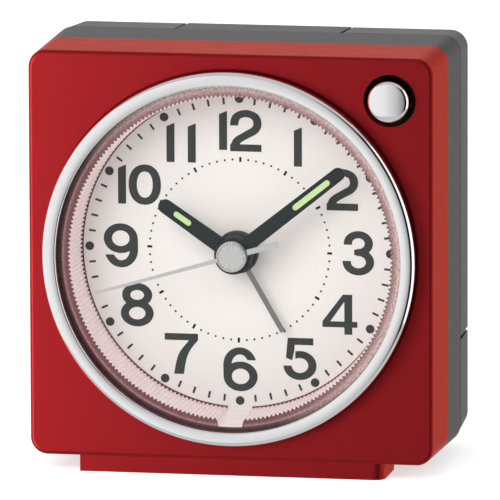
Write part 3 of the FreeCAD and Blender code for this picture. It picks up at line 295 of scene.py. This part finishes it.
LOOKS = {
    "red_paint": red_lacquer(),
    "dark_grey_plastic": moulded("grey_moulding", (0.040, 0.034, 0.035), 0.42),
    "back_grey": moulded("back_moulding", (0.066, 0.064, 0.065), 0.42),
    "black_plastic": moulded("black_moulding", (0.02, 0.02, 0.021), 0.4),
    "chrome": chrome(),
    "clear_plastic": clear_plastic(),
    "dial_white": dial_paint_shade_glow(),
    "dial_ink": moulded("dial_ink", (0.045, 0.052, 0.052), 0.5, strength=0.1),
    "track_ink": moulded("track_ink", (0.012, 0.013, 0.014), 0.5, strength=0.1),
    "hub_shade": moulded("hub_shade", (0.075, 0.075, 0.070), 0.5, strength=0.1),
    "hand_grey": moulded("hand_enamel", (0.024, 0.031, 0.033), 0.3, strength=0.05),
    "hand_silver": metal("hand_silver", (0.82, 0.82, 0.83), 0.22),
    "alarm_grey": metal("alarm_hand_grey", (0.36, 0.36, 0.37), 0.4),
    "lume": moulded("lume", (0.55, 0.74, 0.36), 0.6, strength=0.15),
    "skirt_face": skirt_face(),
    "skirt_wall": skirt_wall(),
    # Painted shadow: dark mauve for the strip at the skirt's foot.
    "skirt_line": moulded("skirt_line", (0.14, 0.05, 0.055), 0.5),
    "hub_cap": brushed_cap(),
    "natural_acetal": moulded("natural_acetal", (0.72, 0.70, 0.64), 0.45),
    "steel": metal("steel", (0.55, 0.55, 0.56), 0.3),
    "brass": metal("brass", (0.72, 0.52, 0.22), 0.25),
    "copper_wire": metal("copper_wire", (0.75, 0.33, 0.16), 0.3),
    "board_green": moulded("board_green", (0.03, 0.16, 0.06), 0.4),
    "cell_wrap": moulded("cell_wrap", (0.10, 0.16, 0.34), 0.3),
    "wire_sleeve": moulded("wire_sleeve", (0.30, 0.02, 0.02), 0.4),
}


# ---------------------------------------------------------------- mesh helpers

CREASE = math.radians(32)


def piece(name, bm, look, body, slot, *nodes):
    """Turns a bmesh drawn in face millimetres into a finished piece riding on a body."""
    bmesh.ops.remove_doubles(bm, verts=bm.verts, dist=1e-5)
    bmesh.ops.recalc_face_normals(bm, faces=bm.faces)
    for face in bm.faces:
        face.smooth = True
    for edge in bm.edges:
        if len(edge.link_faces) == 2 and edge.calc_face_angle(0.0) > CREASE:
            edge.smooth = False
    for vert in bm.verts:
        vert.co = spot(*vert.co)
    bm.normal_update()
    mesh = bpy.data.meshes.new(name)
    bm.to_mesh(mesh)
    bm.free()
    for key in ([look] if isinstance(look, str) else look):
        mesh.materials.append(LOOKS[key].material)
    thing = bpy.data.objects.new(name, mesh)
    bpy.context.scene.collection.objects.link(thing)
    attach(thing, body)
    if nodes:
        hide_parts(*nodes)
    return thing


def bow(x, y, radius, start, stop, steps=10):
    """Points along an arc, by angles in degrees."""
    turns = [math.radians(start + (stop - start) * i / steps) for i in range(steps + 1)]
    return [(x + radius * math.cos(turn), y + radius * math.sin(turn)) for turn in turns]


def lathe(bm, profile, x=0.0, z=0.0, steps=256):
    """Turns a closed profile of (radius, depth) points about the axis through (x, z)."""
    rings = []
    for radius, depth in profile:
        if radius < 1e-6:
            rings.append([bm.verts.new((x, depth, z))])
            continue
        rings.append([bm.verts.new((x + radius * math.cos(math.tau * i / steps), depth,
                                    z + radius * math.sin(math.tau * i / steps))) for i in range(steps)])
    for ring, follower in zip(rings, rings[1:] + rings[:1]):
        if len(ring) == 1 and len(follower) == 1:
            continue
        for i in range(steps):
            j = (i + 1) % steps
            around = (ring[i % len(ring)], ring[j % len(ring)],
                      follower[j % len(follower)], follower[i % len(follower)])
            bm.faces.new(list(dict.fromkeys(around)))
    return bm


def plate(bm, inside, box, step, front, back):
    """Flat plate between two depths where inside(x, y) is negative; box is left, low, right, high."""
    left, low, right, high = box
    xs = left + step * np.arange(math.ceil((right - left) / step) + 1)
    ys = low + step * np.arange(math.ceil((high - low) / step) + 1)
    value = inside(*np.meshgrid(xs, ys, indexing="ij"))
    value[np.abs(value) < 1e-6] = 1e-6
    filled = value < 0
    flat = bmesh.new()
    made = {}

    def corner(cell):
        if cell not in made:
            made[cell] = flat.verts.new((xs[cell[0]], front, ys[cell[1]]))
        return made[cell]

    def crossing(a, b):
        key = (min(a, b), max(a, b))
        if key not in made:
            (i, j), (k, m) = key
            share = value[i, j] / (value[i, j] - value[k, m])
            made[key] = flat.verts.new((xs[i] + (xs[k] - xs[i]) * share, front,
                                        ys[j] + (ys[m] - ys[j]) * share))
        return made[key]

    some = filled[:-1, :-1] | filled[1:, :-1] | filled[1:, 1:] | filled[:-1, 1:]
    for i, j in np.argwhere(some).tolist():
        loop = [(i, j), (i + 1, j), (i + 1, j + 1), (i, j + 1)]
        outline = []
        for here, there in zip(loop, loop[1:] + loop[:1]):
            if filled[here]:
                outline.append(corner(here))
            if filled[here] != filled[there]:
                outline.append(crossing(here, there))
        flat.faces.new(outline)
    bmesh.ops.dissolve_limit(flat, angle_limit=math.radians(1), verts=flat.verts, edges=flat.edges)
    walls = bmesh.ops.extrude_face_region(flat, geom=flat.faces[:])
    for vert in walls["geom"]:
        if isinstance(vert, bmesh.types.BMVert):
            vert.co.y = back
    bmesh.ops.recalc_face_normals(flat, faces=flat.faces)
    copy = bpy.data.meshes.new("plate")
    flat.to_mesh(copy)
    flat.free()
    bm.from_mesh(copy)
    bpy.data.meshes.remove(copy)
    return bm


# Signed distances over arrays of x and y, negative inside.

def disc(x, y, radius):
    return lambda px, py: np.hypot(px - x, py - y) - radius


def capsule(x0, y0, x1, y1, radius, end_radius=None):
    """Bar with round ends; its half width runs from radius to end_radius."""
    last = radius if end_radius is None else end_radius
    long = math.hypot(x1 - x0, y1 - y0)

    def inside(px, py):
        along = np.clip(((px - x0) * (x1 - x0) + (py - y0) * (y1 - y0)) / long ** 2, 0, 1)
        apart = np.hypot(px - x0 - along * (x1 - x0), py - y0 - along * (y1 - y0))
        return apart - radius - (last - radius) * along
    return inside


def block(x0, y0, x1, y1):
    def inside(px, py):
        across = np.abs(px - (x0 + x1) / 2) - (x1 - x0) / 2
        up = np.abs(py - (y0 + y1) / 2) - (y1 - y0) / 2
        return np.maximum(across, up)
    return inside


def shape(*corners):
    """Filled polygon."""
    def inside(px, py):
        best = np.full(px.shape, 1e9)
        odd = np.zeros(px.shape, bool)
        for (x0, y0), (x1, y1) in zip(corners, corners[1:] + corners[:1]):
            dx, dy = x1 - x0, y1 - y0
            if dx == dy == 0:
                continue
            along = np.clip(((px - x0) * dx + (py - y0) * dy) / (dx * dx + dy * dy), 0, 1)
            best = np.minimum(best, np.hypot(px - x0 - along * dx, py - y0 - along * dy))
            if dy:
                odd ^= ((y0 > py) != (y1 > py)) & (px < x0 + dx * (py - y0) / dy)
        return np.where(odd, -best, best)
    return inside


def union(*parts):
    return lambda px, py: np.minimum.reduce([part(px, py) for part in parts])


def less(part, *cuts):
    return lambda px, py: np.maximum.reduce([part(px, py), *(-cut(px, py) for cut in cuts)])


def within(part, *limits):
    return lambda px, py: np.maximum.reduce([limit(px, py) for limit in (part, *limits)])


def moved(part, x, y, turn=0.0, flip=1):
    """Part shifted to (x, y) after a turn in degrees."""
    cos, sin = math.cos(math.radians(turn)), math.sin(math.radians(turn))

    def inside(px, py):
        dx, dy = px - x, py - y
        return part((dx * cos + dy * sin) * flip, (dy * cos - dx * sin) * flip)
    return inside


# ---------------------------------------------------------------- numerals

INK_HALF = 0.8
INK_SQUASH = 1.17


def stroke(points):
    """Pen line that is 1.6 mm wide where it runs upright and thinner where it runs across."""
    runs = [(x0, y0 * INK_SQUASH, x1, y1 * INK_SQUASH) for (x0, y0), (x1, y1) in zip(points, points[1:])]
    lines = union(*(capsule(*run, INK_HALF) for run in runs))
    return lambda px, py: lines(px, py * INK_SQUASH)


def sweep(x, y, across, up, start, stop, power=2.0, steps=40):
    """Points on an oval arc, by angles in degrees."""
    points = []
    for i in range(steps + 1):
        turn = math.radians(start + (stop - start) * i / steps)
        cos, sin = math.cos(turn), math.sin(turn)
        points.append((x + across * math.copysign(abs(cos) ** (2 / power), cos),
                       y + up * math.copysign(abs(sin) ** (2 / power), sin)))
    return points


def smooth(*knots):
    """Catmull-Rom curve through the knots."""
    ends = [knots[0], *knots, knots[-1]]
    points = []
    for a, b, c, d in zip(ends, ends[1:], ends[2:], ends[3:]):
        for i in range(8):
            t = i / 8
            points.append(tuple(0.5 * (2 * q + (r - p) * t + (2 * p - 5 * q + 4 * r - s) * t * t
                                       + (3 * q - p - 3 * r + s) * t ** 3)
                                for p, q, r, s in zip(a, b, c, d)))
    return points + [knots[-1]]


def above(level, left=-9, right=9):
    return block(left, level, right, 20)


def below(level, left=-9, right=9):
    return block(left, -20, right, level)


SIX = union(stroke(sweep(0.12, 2.84, 2.52, 2.2, 0, 360)),
            less(stroke(sweep(0.0, 5.0, 2.45, 2.8, 22, 180) + [(-2.42, 2.9)]), below(6.03, 1.0, 9)))
DIGITS = {
    "0": stroke(sweep(0, 3.9, 2.35, 3.22, 0, 360, 2.2)),
    "1": shape((-0.78, 0), (0.78, 0), (0.78, 7.6), (-0.78, 6.9)),
    "2": union(within(less(stroke(smooth((-2.27, 4.4), (-2.27, 5.2), (-1.75, 6.7), (0, 7.35), (1.75, 6.75),
                                         (2.27, 5.4), (1.69, 4.1), (-0.13, 3.05), (-1.7, 2.0), (-2.3, 0.5))),
                           below(4.98, -9, -1.0)), block(-3.05, 0, 9, 20)),
               within(stroke(smooth((1.69, 4.1), (-0.13, 3.05), (-1.7, 2.0), (-2.3, 0.5))),
                      block(-3.05, 0, 9, 20)),
               block(-3.05, 0, 3.05, 1.38)),
    "3": union(less(stroke(sweep(0, 6.09, 2.03, 1.73, -90, 190)), below(5.82, -9, -0.6)),
               less(stroke(sweep(0, 2.5, 2.25, 1.87, 90, -190)), above(2.69, -9, -0.6)),
               block(-0.82, 3.84, 0.6, 4.89)),
    "4": less(union(shape((-3.39, 1.4), (3.39, 1.4), (3.39, 2.52), (2.39, 2.52), (2.39, 7.75),
                          (0.58, 7.75), (-3.39, 2.52)), block(0.86, 0, 2.39, 1.5)),
              shape((0.86, 6.4), (0.86, 2.52), (-1.86, 2.52))),
    "5": union(block(-2.37, 6.8, 2.62, 8.14),
               shape((-2.37, 8.14), (-1.0, 6.9), (-1.09, 5.6), (-1.52, 3.77), (-2.73, 4.25)),
               less(stroke(sweep(0, 2.81, 2.42, 2.14, 131, -190)), above(2.74, -9, -0.9))),
    "6": SIX,
    "7": union(block(-3.25, 6.57, 3.25, 7.87),
               shape(*smooth((1.53, 6.6), (-0.16, 4.48), (-0.9, 2.7), (-1.42, 0)), (0.46, 0),
                     *smooth((0.46, 0), (1.02, 3.0), (1.9, 4.92), (3.25, 6.6)))),
    "8": union(stroke(sweep(0, 2.52, 2.41, 1.9, 0, 360)), stroke(sweep(0, 6.06, 2.14, 1.65, 0, 360))),
    "9": moved(SIX, 0, 8.43, flip=-1),
}
NUMERALS = {
    1: ((0, "1"),), 2: ((0, "2"),), 3: ((0, "3"),), 4: ((0, "4"),), 5: ((0, "5"),), 6: ((0, "6"),),
    7: ((0, "7"),), 8: ((0, "8"),), 9: ((0, "9"),), 10: ((-3.4, "1"), (1.04, "0")),
    11: ((-2.07, "1"), (2.07, "1")), 12: ((-3.34, "1"), (1.07, "2")),
}
HEIGHTS = {"0": 7.8, "1": 7.6, "2": 8.0, "3": 8.46, "4": 7.75, "5": 8.14, "6": 8.43, "7": 7.87, "8": 8.27,
           "9": 8.43}
NUMERAL_RADIUS = 23.05
# How far each numeral stands off its clock point, right and up.
NUDGES = {1: (-0.15, 0.25), 2: (0.0, 0.62), 4: (-0.5, -0.44), 5: (0.15, -0.86), 6: (0.0, -0.12),
          7: (0.1, -0.5), 8: (-0.05, 0.3), 9: (0.0, 0.25), 10: (0.5, 0.62), 11: (0.22, 0.5), 12: (0.2, 0.0)}
TRACK_TURN = 0.0217
DIAL_FRONT = 9.56
PRINT = (DIAL_FRONT - 0.03, DIAL_FRONT + 0.02)
CASE = "case"


def clock_point(radius, hours):
    turn = math.tau * hours / 12
    return radius * math.sin(turn), radius * math.cos(turn)


def print_numerals():
    bm = bmesh.new()
    for hour, signs in NUMERALS.items():
        x, z = clock_point(NUMERAL_RADIUS, hour)
        aside, rise = NUDGES.get(hour, (0, 0))
        x, z = x + aside, z + rise
        for shift, digit in signs:
            half = HEIGHTS[digit] / 2
            place = moved(DIGITS[digit], x + shift, z - half)
            plate(bm, place, (x + shift - 4, z - half - 0.6, x + shift + 4, z + half + 0.6), 0.1, *PRINT)
    piece("dial_numerals", bm, "dial_ink", CASE, "black_plastic")


def print_marks():
    bm = bmesh.new()
    for minute in range(60):
        hours = minute / 5
        if minute % 5:
            x0, z0 = clock_point(28.19, hours)
            x1, z1 = clock_point(29.52, hours)
            x, z = (x0 + x1) / 2, (z0 + z1) / 2
            mark = moved(block(-0.21, -0.665, 0.21, 0.665), x, z, -math.degrees(math.tau * hours / 12))
            plate(bm, mark, (x - 1, z - 1, x + 1, z + 1), 0.08, *PRINT)
        else:
            x, z = clock_point(29.24, hours)
            plate(bm, disc(x, z, 0.85), (x - 1.1, z - 1.1, x + 1.1, z + 1.1), 0.1, *PRINT)
    piece("dial_minute_marks", bm, "dial_ink", CASE, "black_plastic")
    bm = bmesh.new()
    for step in range(72):
        hours = step / 6 + TRACK_TURN
        x, z = clock_point(17.5, hours)
        if step % 6:
            plate(bm, disc(x, z, 0.2), (x - 0.3, z - 0.3, x + 0.3, z + 0.3), 0.05, *PRINT)
        else:
            dash = moved(block(-0.22, -0.48, 0.22, 0.48), x, z, -math.degrees(math.tau * hours / 12))
            plate(bm, dash, (x - 0.7, z - 0.7, x + 0.7, z + 0.7), 0.07, *PRINT)
    piece("dial_inner_track", bm, "track_ink", CASE, "black_plastic")


# ---------------------------------------------------------------- face pieces

def make_dial():
    bm = bmesh.new()
    lathe(bm, [(2.35, DIAL_FRONT), (35.5, DIAL_FRONT), (35.6, DIAL_FRONT + 0.1), (35.6, DIAL_FRONT + 0.6),
               (2.35, DIAL_FRONT + 0.6)])
    piece("dial_disc", bm, "dial_white", CASE, "dial_white", "dial")
    print_numerals()
    print_marks()


def ring_profile():
    crown, outer, inner = 4.2, 1.0, 0.35
    middle, tilt = 34.44, 11.0
    points = bow(middle, crown - RING_CROWN, crown, -90 - tilt, -90 + tilt, 16)
    cos, sin = math.cos(math.radians(tilt)), math.sin(math.radians(tilt))
    edge_x, edge_d = points[-1]
    points += bow(edge_x - outer * sin, edge_d + outer * cos, outer, -90 + tilt, -2, 20)[1:]
    edge_x, edge_d = points[0]
    start = bow(edge_x + inner * sin, edge_d + inner * cos, inner, -90 - tilt, -178, 12)[1:]
    points = start[::-1] + points
    floor_x = points[-1][0]
    return [(points[0][0] - 0.05, -0.9), *points, (floor_x + 0.02, 1.2), (34.6, 1.2), (34.6, -0.9)]


def make_ring():
    bm = bmesh.new()
    lathe(bm, ring_profile(), steps=360)
    piece("bezel_ring_chrome", bm, "chrome", CASE, "chrome", "bezel_ring")


TEETH = 230
WINDOW_HALF = 2.4
TOOTH = 0.26
WINDOW_LIP = 32.6
SKIRT_FRONT = -0.55
SKIRT_LIP = 31.2
SKIRT_FOOT = 30.85
SKIRT_OUTER = 33.9


def make_skirt():
    """Skirt of the lens: a tinted front annulus with toothed inner edge, and a frosted ribbed wall."""
    bm = bmesh.new()
    steps = TEETH * 2
    depth = DIAL_FRONT - 0.02
    front, back, outer = [], [], []
    for i in range(steps):
        turn = math.tau * i / steps
        cos, sin = math.cos(turn), math.sin(turn)
        plain = sin < 0 and abs(cos) * 31 < WINDOW_HALF
        tooth = 0.0 if plain else (TOOTH if i % 2 else -TOOTH)
        lip = WINDOW_LIP if plain else SKIRT_LIP + tooth
        foot = SKIRT_FOOT + tooth
        front.append(bm.verts.new((lip * cos, SKIRT_FRONT, lip * sin)))
        back.append(bm.verts.new((foot * cos, depth, foot * sin)))
        outer.append((bm.verts.new((SKIRT_OUTER * cos, SKIRT_FRONT, SKIRT_OUTER * sin)),
                      bm.verts.new((SKIRT_OUTER * cos, depth, SKIRT_OUTER * sin))))
    for i in range(steps):
        j = (i + 1) % steps
        faces = [(front[i], front[j], outer[j][0], outer[i][0]),
                 (front[j], front[i], back[i], back[j]),
                 (back[i], back[j], outer[j][1], outer[i][1]),
                 (outer[i][0], outer[j][0], outer[j][1], outer[i][1])]
        for index, corners in enumerate(faces):
            bm.faces.new(corners).material_index = 1 if index == 1 else 0
    piece("lens_skirt", bm, ["skirt_face", "skirt_wall"], CASE, "clear_plastic")


def make_foot_shadow_line():
    """Dark toothed strip where the skirt stands on the dial, open at the six o'clock window: a painted shadow
    at the skirt's foot.
    """
    bm = bmesh.new()
    steps = TEETH * 2
    start = math.asin(WINDOW_HALF / 31)
    inner, root, tip = 30.42, 30.62, 31.1
    front = DIAL_FRONT - 0.06
    ring = []
    for i in range(steps + 1):
        turn = -math.pi / 2 + start + (math.tau - 2 * start) * i / steps
        cos, sin = math.cos(turn), math.sin(turn)
        wide = tip if i % 2 else root
        section = ((inner, front), (wide, front), (wide, DIAL_FRONT), (inner, DIAL_FRONT))
        ring.append([bm.verts.new((radius * cos, depth, radius * sin)) for radius, depth in section])
    for here, there in zip(ring, ring[1:]):
        for k in range(4):
            bm.faces.new((here[k], here[(k + 1) % 4], there[(k + 1) % 4], there[k]))
    bm.faces.new(ring[0])
    bm.faces.new(ring[-1][::-1])
    piece("lens_foot_shadow_line", bm, "skirt_line", CASE, "clear_plastic")


def make_lens():
    bm = bmesh.new()
    window = [(0, -0.8), (32.8, -0.8), (33.15, -0.72), (33.3, -0.6), (33.3, -0.57), (0, -0.57)]
    lathe(bm, window, steps=180)
    piece("lens_window", bm, "clear_plastic", CASE, "clear_plastic", "lens")
    make_skirt()
    make_foot_shadow_line()


BUTTON = (30.8, 30.95)


def make_button():
    """Button with a shallow round crown and a rounded rim, on a stem."""
    bm = bmesh.new()
    crown_radius, slope, height, rim_radius = 14.0, 13.5, 2.4, 0.95
    back, stem, stem_end = 2.35, 1.5, 8.8
    crown = bow(0, crown_radius - height, crown_radius, -90, -90 + slope, 10)
    edge_x, edge_d = crown[-1]
    turn = math.radians(slope)
    rim = bow(edge_x - rim_radius * math.sin(turn), edge_d + rim_radius * math.cos(turn), rim_radius,
              -90 + slope, -1, 16)[1:]
    side = rim[-1][0] + 0.02
    profile = [*crown, *rim, (side, back - 0.05), (side, back), (stem, back), (stem, stem_end), (0, stem_end)]
    lathe(bm, profile, *BUTTON, 128)
    piece("snooze_button_chrome", bm, "chrome", "button", "chrome", "snooze_button")


def make_button_spring():
    """Coil between the button and its switch, drawn here at one fixed length, though the real one shortens as
    the button is pressed.
    """
    x, z = BUTTON
    turns, steps, sides = 5, 24, 8
    coil, wire = 3.6, 0.25
    front, seat = 3.4, 12.0
    pitch = (seat - 0.3 - front) / (turns * steps)
    bm = bmesh.new()
    rings = []
    for i in range(turns * steps + 1):
        turn = math.tau * i / steps
        ring = []
        for k in range(sides):
            around = math.tau * k / sides
            reach = coil + wire * math.cos(around)
            depth = front + pitch * i + wire * math.sin(around)
            ring.append(bm.verts.new((x + reach * math.cos(turn), depth, z + reach * math.sin(turn))))
        rings.append(ring)
    for here, there in zip(rings, rings[1:]):
        for k in range(sides):
            j = (k + 1) % sides
            bm.faces.new((here[k], here[j], there[j], there[k]))
    bm.faces.new(rings[0])
    bm.faces.new(rings[-1][::-1])
    thing = piece("button_spring_coil", bm, "steel", CASE, "steel", "button_spring")
    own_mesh(thing)


# ---------------------------------------------------------------- hands

def turned(bm, degrees):
    turn = Matrix.Rotation(math.radians(degrees), 3, "Y")
    bmesh.ops.rotate(bm, cent=(0, 0, 0), matrix=turn, verts=bm.verts)
    return bm


def softened(thing, width):
    edge = thing.modifiers.new("edge", "BEVEL")
    edge.width = width * MM
    edge.segments = 2
    edge.limit_method = "ANGLE"
    edge.angle_limit = math.radians(60)


def make_hand(name, node, body, slot, look, angle, depths, outline, reach, tail, hub, sleeve, lume=None):
    """Flat hand with a round-edged hub and a sleeve behind it.

    hub is its radius, how far it stands in front of the blade and its bore; sleeve is its radius and back;
    lume is the inlay's inner radius, outer radius and half width.
    """
    front, back = depths
    bm = bmesh.new()
    blade = less(outline, capsule(0, lume[0], 0, lume[1], lume[2])) if lume else outline
    plate(bm, blade, (-4, -tail - 0.4, 4, reach + 0.4), 0.11, front, back)
    softened(piece(name, turned(bm, angle), look, body, slot, node), 0.05)
    bm = bmesh.new()
    radius, rise, bore = hub
    lathe(bm, [(bore, front - rise), *bow(radius - 0.35, front - rise + 0.35, 0.35, -90, 0, 6),
               (radius, back), (sleeve[0], back), (sleeve[0], sleeve[1]), (bore, sleeve[1])], steps=96)
    piece(name + "_hub", bm, look, body, slot)
    if lume:
        bm = bmesh.new()
        plate(bm, capsule(0, lume[0], 0, lume[1], lume[2] + 0.01),
              (-1, lume[0] - 1, 1, lume[1] + 1), 0.08, front + 0.06, back - 0.02)
        piece(name + "_lume", turned(bm, angle), "lume", body, "dial_white")


def make_hands():
    make_hand("alarm_hand_blade", "alarm_hand", "alarm", "hand_silver", "alarm_grey", 150, (7.2, 7.45),
              block(-0.5, 0, 0.5, 17.6), 17.6, 0, (2.9, 0.1, 2.01), (2.5, 9.3))
    bm = bmesh.new()
    collar = [(2.1, 6.6), (3.9, 6.6), *bow(3.9, 6.85, 0.25, -90, 0, 5)[1:], (4.15, 7.3), (2.1, 7.3)]
    lathe(bm, collar, steps=128)
    piece("alarm_hand_collar", bm, "hub_shade", "alarm", "hand_silver")
    make_hand("hour_hand_blade", "hour_hand", "hour", "hand_grey", "hand_grey", 304.3, (3.4, 3.75),
              capsule(0, 0, 0, 16.0, 1.6, 1.38), 17.4, 1.7, (3.6, 0.15, 1.46), (3.55, 6.4),
              (10.6, 13.4, 0.55))
    make_hand("minute_hand_blade", "minute_hand", "minute", "hand_grey", "hand_grey", 51.5, (2.2, 2.55),
              capsule(0, 0, 0, 26.1, 1.45, 1.3), 27.4, 1.5, (3.6, 0.12, 0.91), (3.3, 3.2),
              (15.6, 23.4, 0.57))
    taper = shape((-0.42, 0), (0.42, 0), (0.26, 27.9), (-0.26, 27.9))
    tail = shape((-0.5, 0.5), (0.5, 0.5), (0.6, -9.5), (-0.6, -9.5))
    make_hand("second_hand_blade", "second_hand", "second", "hand_silver", "hand_silver", 253.6, (1.55, 1.75),
              union(taper, tail), 27.9, 9.5, (2.95, 0.0, 0.41), (0.85, 4.1))
    bm = bmesh.new()
    cap = [(0, 0.62), (2.45, 0.62), (2.5, 0.7), *bow(2.72, 0.72, 0.17, 180, 360, 10),
           (2.89, 0.95), (2.78, 1.0), (2.78, 1.14), (2.95, 1.2), (2.95, 1.5),
           (0.4, 1.5), (0.4, 3.85), (0, 3.85)]
    lathe(bm, cap, steps=128)
    piece("hub_cap_disc", bm, "hub_cap", "second", "hand_silver", "hub_cap")


# ---------------------------------------------------------------- carried-over pieces

REPAINT = {"back_cover": "back_grey", "battery_door": "back_grey"}


def paint_nodes():
    for part in frame["record"]["subparts"]:
        thing = NODES[part["node"]]
        thing.data.materials.clear()
        thing.data.materials.append(LOOKS[REPAINT.get(part["node"], part["material_slot"])].material)


# ---------------------------------------------------------------- studio

def facing(thing, place, target):
    thing.location = place
    thing.rotation_euler = (Vector(target) - Vector(place)).to_track_quat("-Z", "Y").to_euler()


def softbox(name, place, target, wide, high, power):
    light = bpy.data.lights.new(name, "AREA")
    light.shape = "RECTANGLE"
    light.size = wide
    light.size_y = high
    light.energy = power
    lamp = bpy.data.objects.new(name, light)
    bpy.context.scene.collection.objects.link(lamp)
    facing(lamp, place, target)
    return lamp


def only_on(lamp, *things):
    """Links a lamp to a few things, as a card masks it from the rest."""
    chosen = bpy.data.collections.new(lamp.name + "_on")
    for thing in things:
        chosen.objects.link(thing)
    lamp.light_linking.receiver_collection = chosen


def make_world():
    """White studio; mirrors see bright walls and a dark flag to the right of the camera instead."""
    world = bpy.data.worlds.new("studio")
    bpy.context.scene.world = world
    world.use_nodes = True
    tree = world.node_tree
    nodes, links = tree.nodes, tree.links
    back = nodes["Background"]

    def calc(operation, a, b=0.0):
        made = nodes.new("ShaderNodeMath")
        made.operation = operation
        for socket, value in ((made.inputs[0], a), (made.inputs[1], b)):
            if isinstance(value, bpy.types.NodeSocket):
                links.new(value, socket)
            else:
                socket.default_value = value
        return made.outputs[0]

    apart = nodes.new("ShaderNodeSeparateXYZ")
    links.new(nodes.new("ShaderNodeTexCoord").outputs["Generated"], apart.inputs[0])
    azimuth = calc("MULTIPLY", calc("ARCTAN2", apart.outputs[0], calc("MULTIPLY", apart.outputs[1], -1.0)),
                   1 / math.pi)
    ramp = nodes.new("ShaderNodeValToRGB")
    links.new(calc("ADD", calc("MULTIPLY", azimuth, 0.5), 0.5), ramp.inputs[0])
    line = ramp.color_ramp.elements
    for degrees, value in FLAG:
        element = line.new(0.5 + degrees / 360)
        element.color = (value, value, value, 1)
    line[0].color = line[-1].color = (FLAG[0][1],) * 3 + (1,)
    path = nodes.new("ShaderNodeLightPath")
    high = calc("GREATER_THAN", apart.outputs[2], 0.62)
    low = calc("LESS_THAN", apart.outputs[2], -0.5)
    glossy = calc("MULTIPLY", path.outputs["Is Glossy Ray"],
                  calc("SUBTRACT", 1.0, calc("MAXIMUM", high, low)))
    mix = nodes.new("ShaderNodeMix")
    mix.data_type = "RGBA"
    links.new(glossy, mix.inputs[0])
    mix.inputs[6].default_value = (WORLD, WORLD, WORLD, 1)
    links.new(ramp.outputs[0], mix.inputs[7])
    links.new(mix.outputs[2], back.inputs["Color"])
    back.inputs["Strength"].default_value = 1.0


WORLD = 0.55
# What mirrors see round the horizon: degrees right of straight ahead of the dial, and brightness.
FLAG = [(-60, 0.95), (-16, 0.85), (4, 0.55), (16, 0.25), (20, 0.01), (58, 0.01), (62, 1.2), (160, 1.2),
        (167, 0.12)]


def make_floor():
    bm = bmesh.new()
    half = 3.0
    corners = [bm.verts.new((x * half, y * half, 0)) for x, y in ((-1, -1), (1, -1), (1, 1), (-1, 1))]
    bm.faces.new(corners)
    mesh = bpy.data.meshes.new("floor")
    bm.to_mesh(mesh)
    bm.free()
    floor = bpy.data.objects.new("floor", mesh)
    bpy.context.scene.collection.objects.link(floor)
    look = Look("floor_sweep", (0.9, 0.9, 0.9), 0.9)
    paper = look.noise(4.0)
    look.paint(look.mix(paper, (0.90, 0.90, 0.90), (0.94, 0.94, 0.94)))
    look.put("Emission Color", (1, 1, 1, 1))
    seen = look.node("LightPath").outputs["Is Camera Ray"]
    look.feed(look.surface.inputs["Emission Strength"], look.span(seen, 0.0, 1.0, 0.2, 0.62))
    mesh.materials.append(look.material)
    floor.visible_glossy = False


# The camera stands at azimuth 10.9 degrees to the right of the dial and 9.5 degrees above it.
CAMERA_SIDE, CAMERA_RISE, CAMERA_ROLL = 10.913, 9.477, -0.2
CAMERA_REACH = 1.9807
AIM_RIGHT, AIM_UP = 3.77, 1.527


def make_camera():
    side, rise = math.radians(CAMERA_SIDE), math.radians(CAMERA_RISE)
    back = Vector((math.sin(side) * math.cos(rise), -math.cos(side) * math.cos(rise), math.sin(rise)))
    right = Vector((math.cos(side), math.sin(side), 0))
    up = back.cross(right)
    roll = Matrix.Rotation(math.radians(CAMERA_ROLL), 3, back)
    right, up = roll @ right, roll @ up
    data = bpy.data.cameras.new("camera")
    data.lens = 749.8
    data.sensor_width = 36
    data.clip_end = 20
    camera = bpy.data.objects.new("camera", data)
    bpy.context.scene.collection.objects.link(camera)
    centre = spot(0, 0, 0)
    place = centre + back * CAMERA_REACH
    look = place - centre - (right * AIM_RIGHT + up * AIM_UP) * MM
    depth = look.normalized()
    across = up.cross(depth).normalized()
    camera.matrix_world = Matrix((across, depth.cross(across), depth)).transposed().to_4x4()
    camera.location = place
    bpy.context.scene.camera = camera


def make_studio():
    make_world()
    make_floor()
    front = softbox("front", (-0.3, -0.9, 0.5), (0, 0, 0.04), 0.8, 0.8, 7.5)
    front.visible_glossy = False
    glow = softbox("lacquer_left", (-0.20, -0.25, 0.0), (-0.02, -0.02, 0.04), 0.14, 0.3, 1.6)
    only_on(glow, NODES["front_case"])
    scene = bpy.context.scene
    scene.view_settings.view_transform = "Standard"
    make_camera()


make_dial()
make_ring()
make_lens()
make_button()
make_button_spring()
make_hands()
paint_nodes()
make_studio()
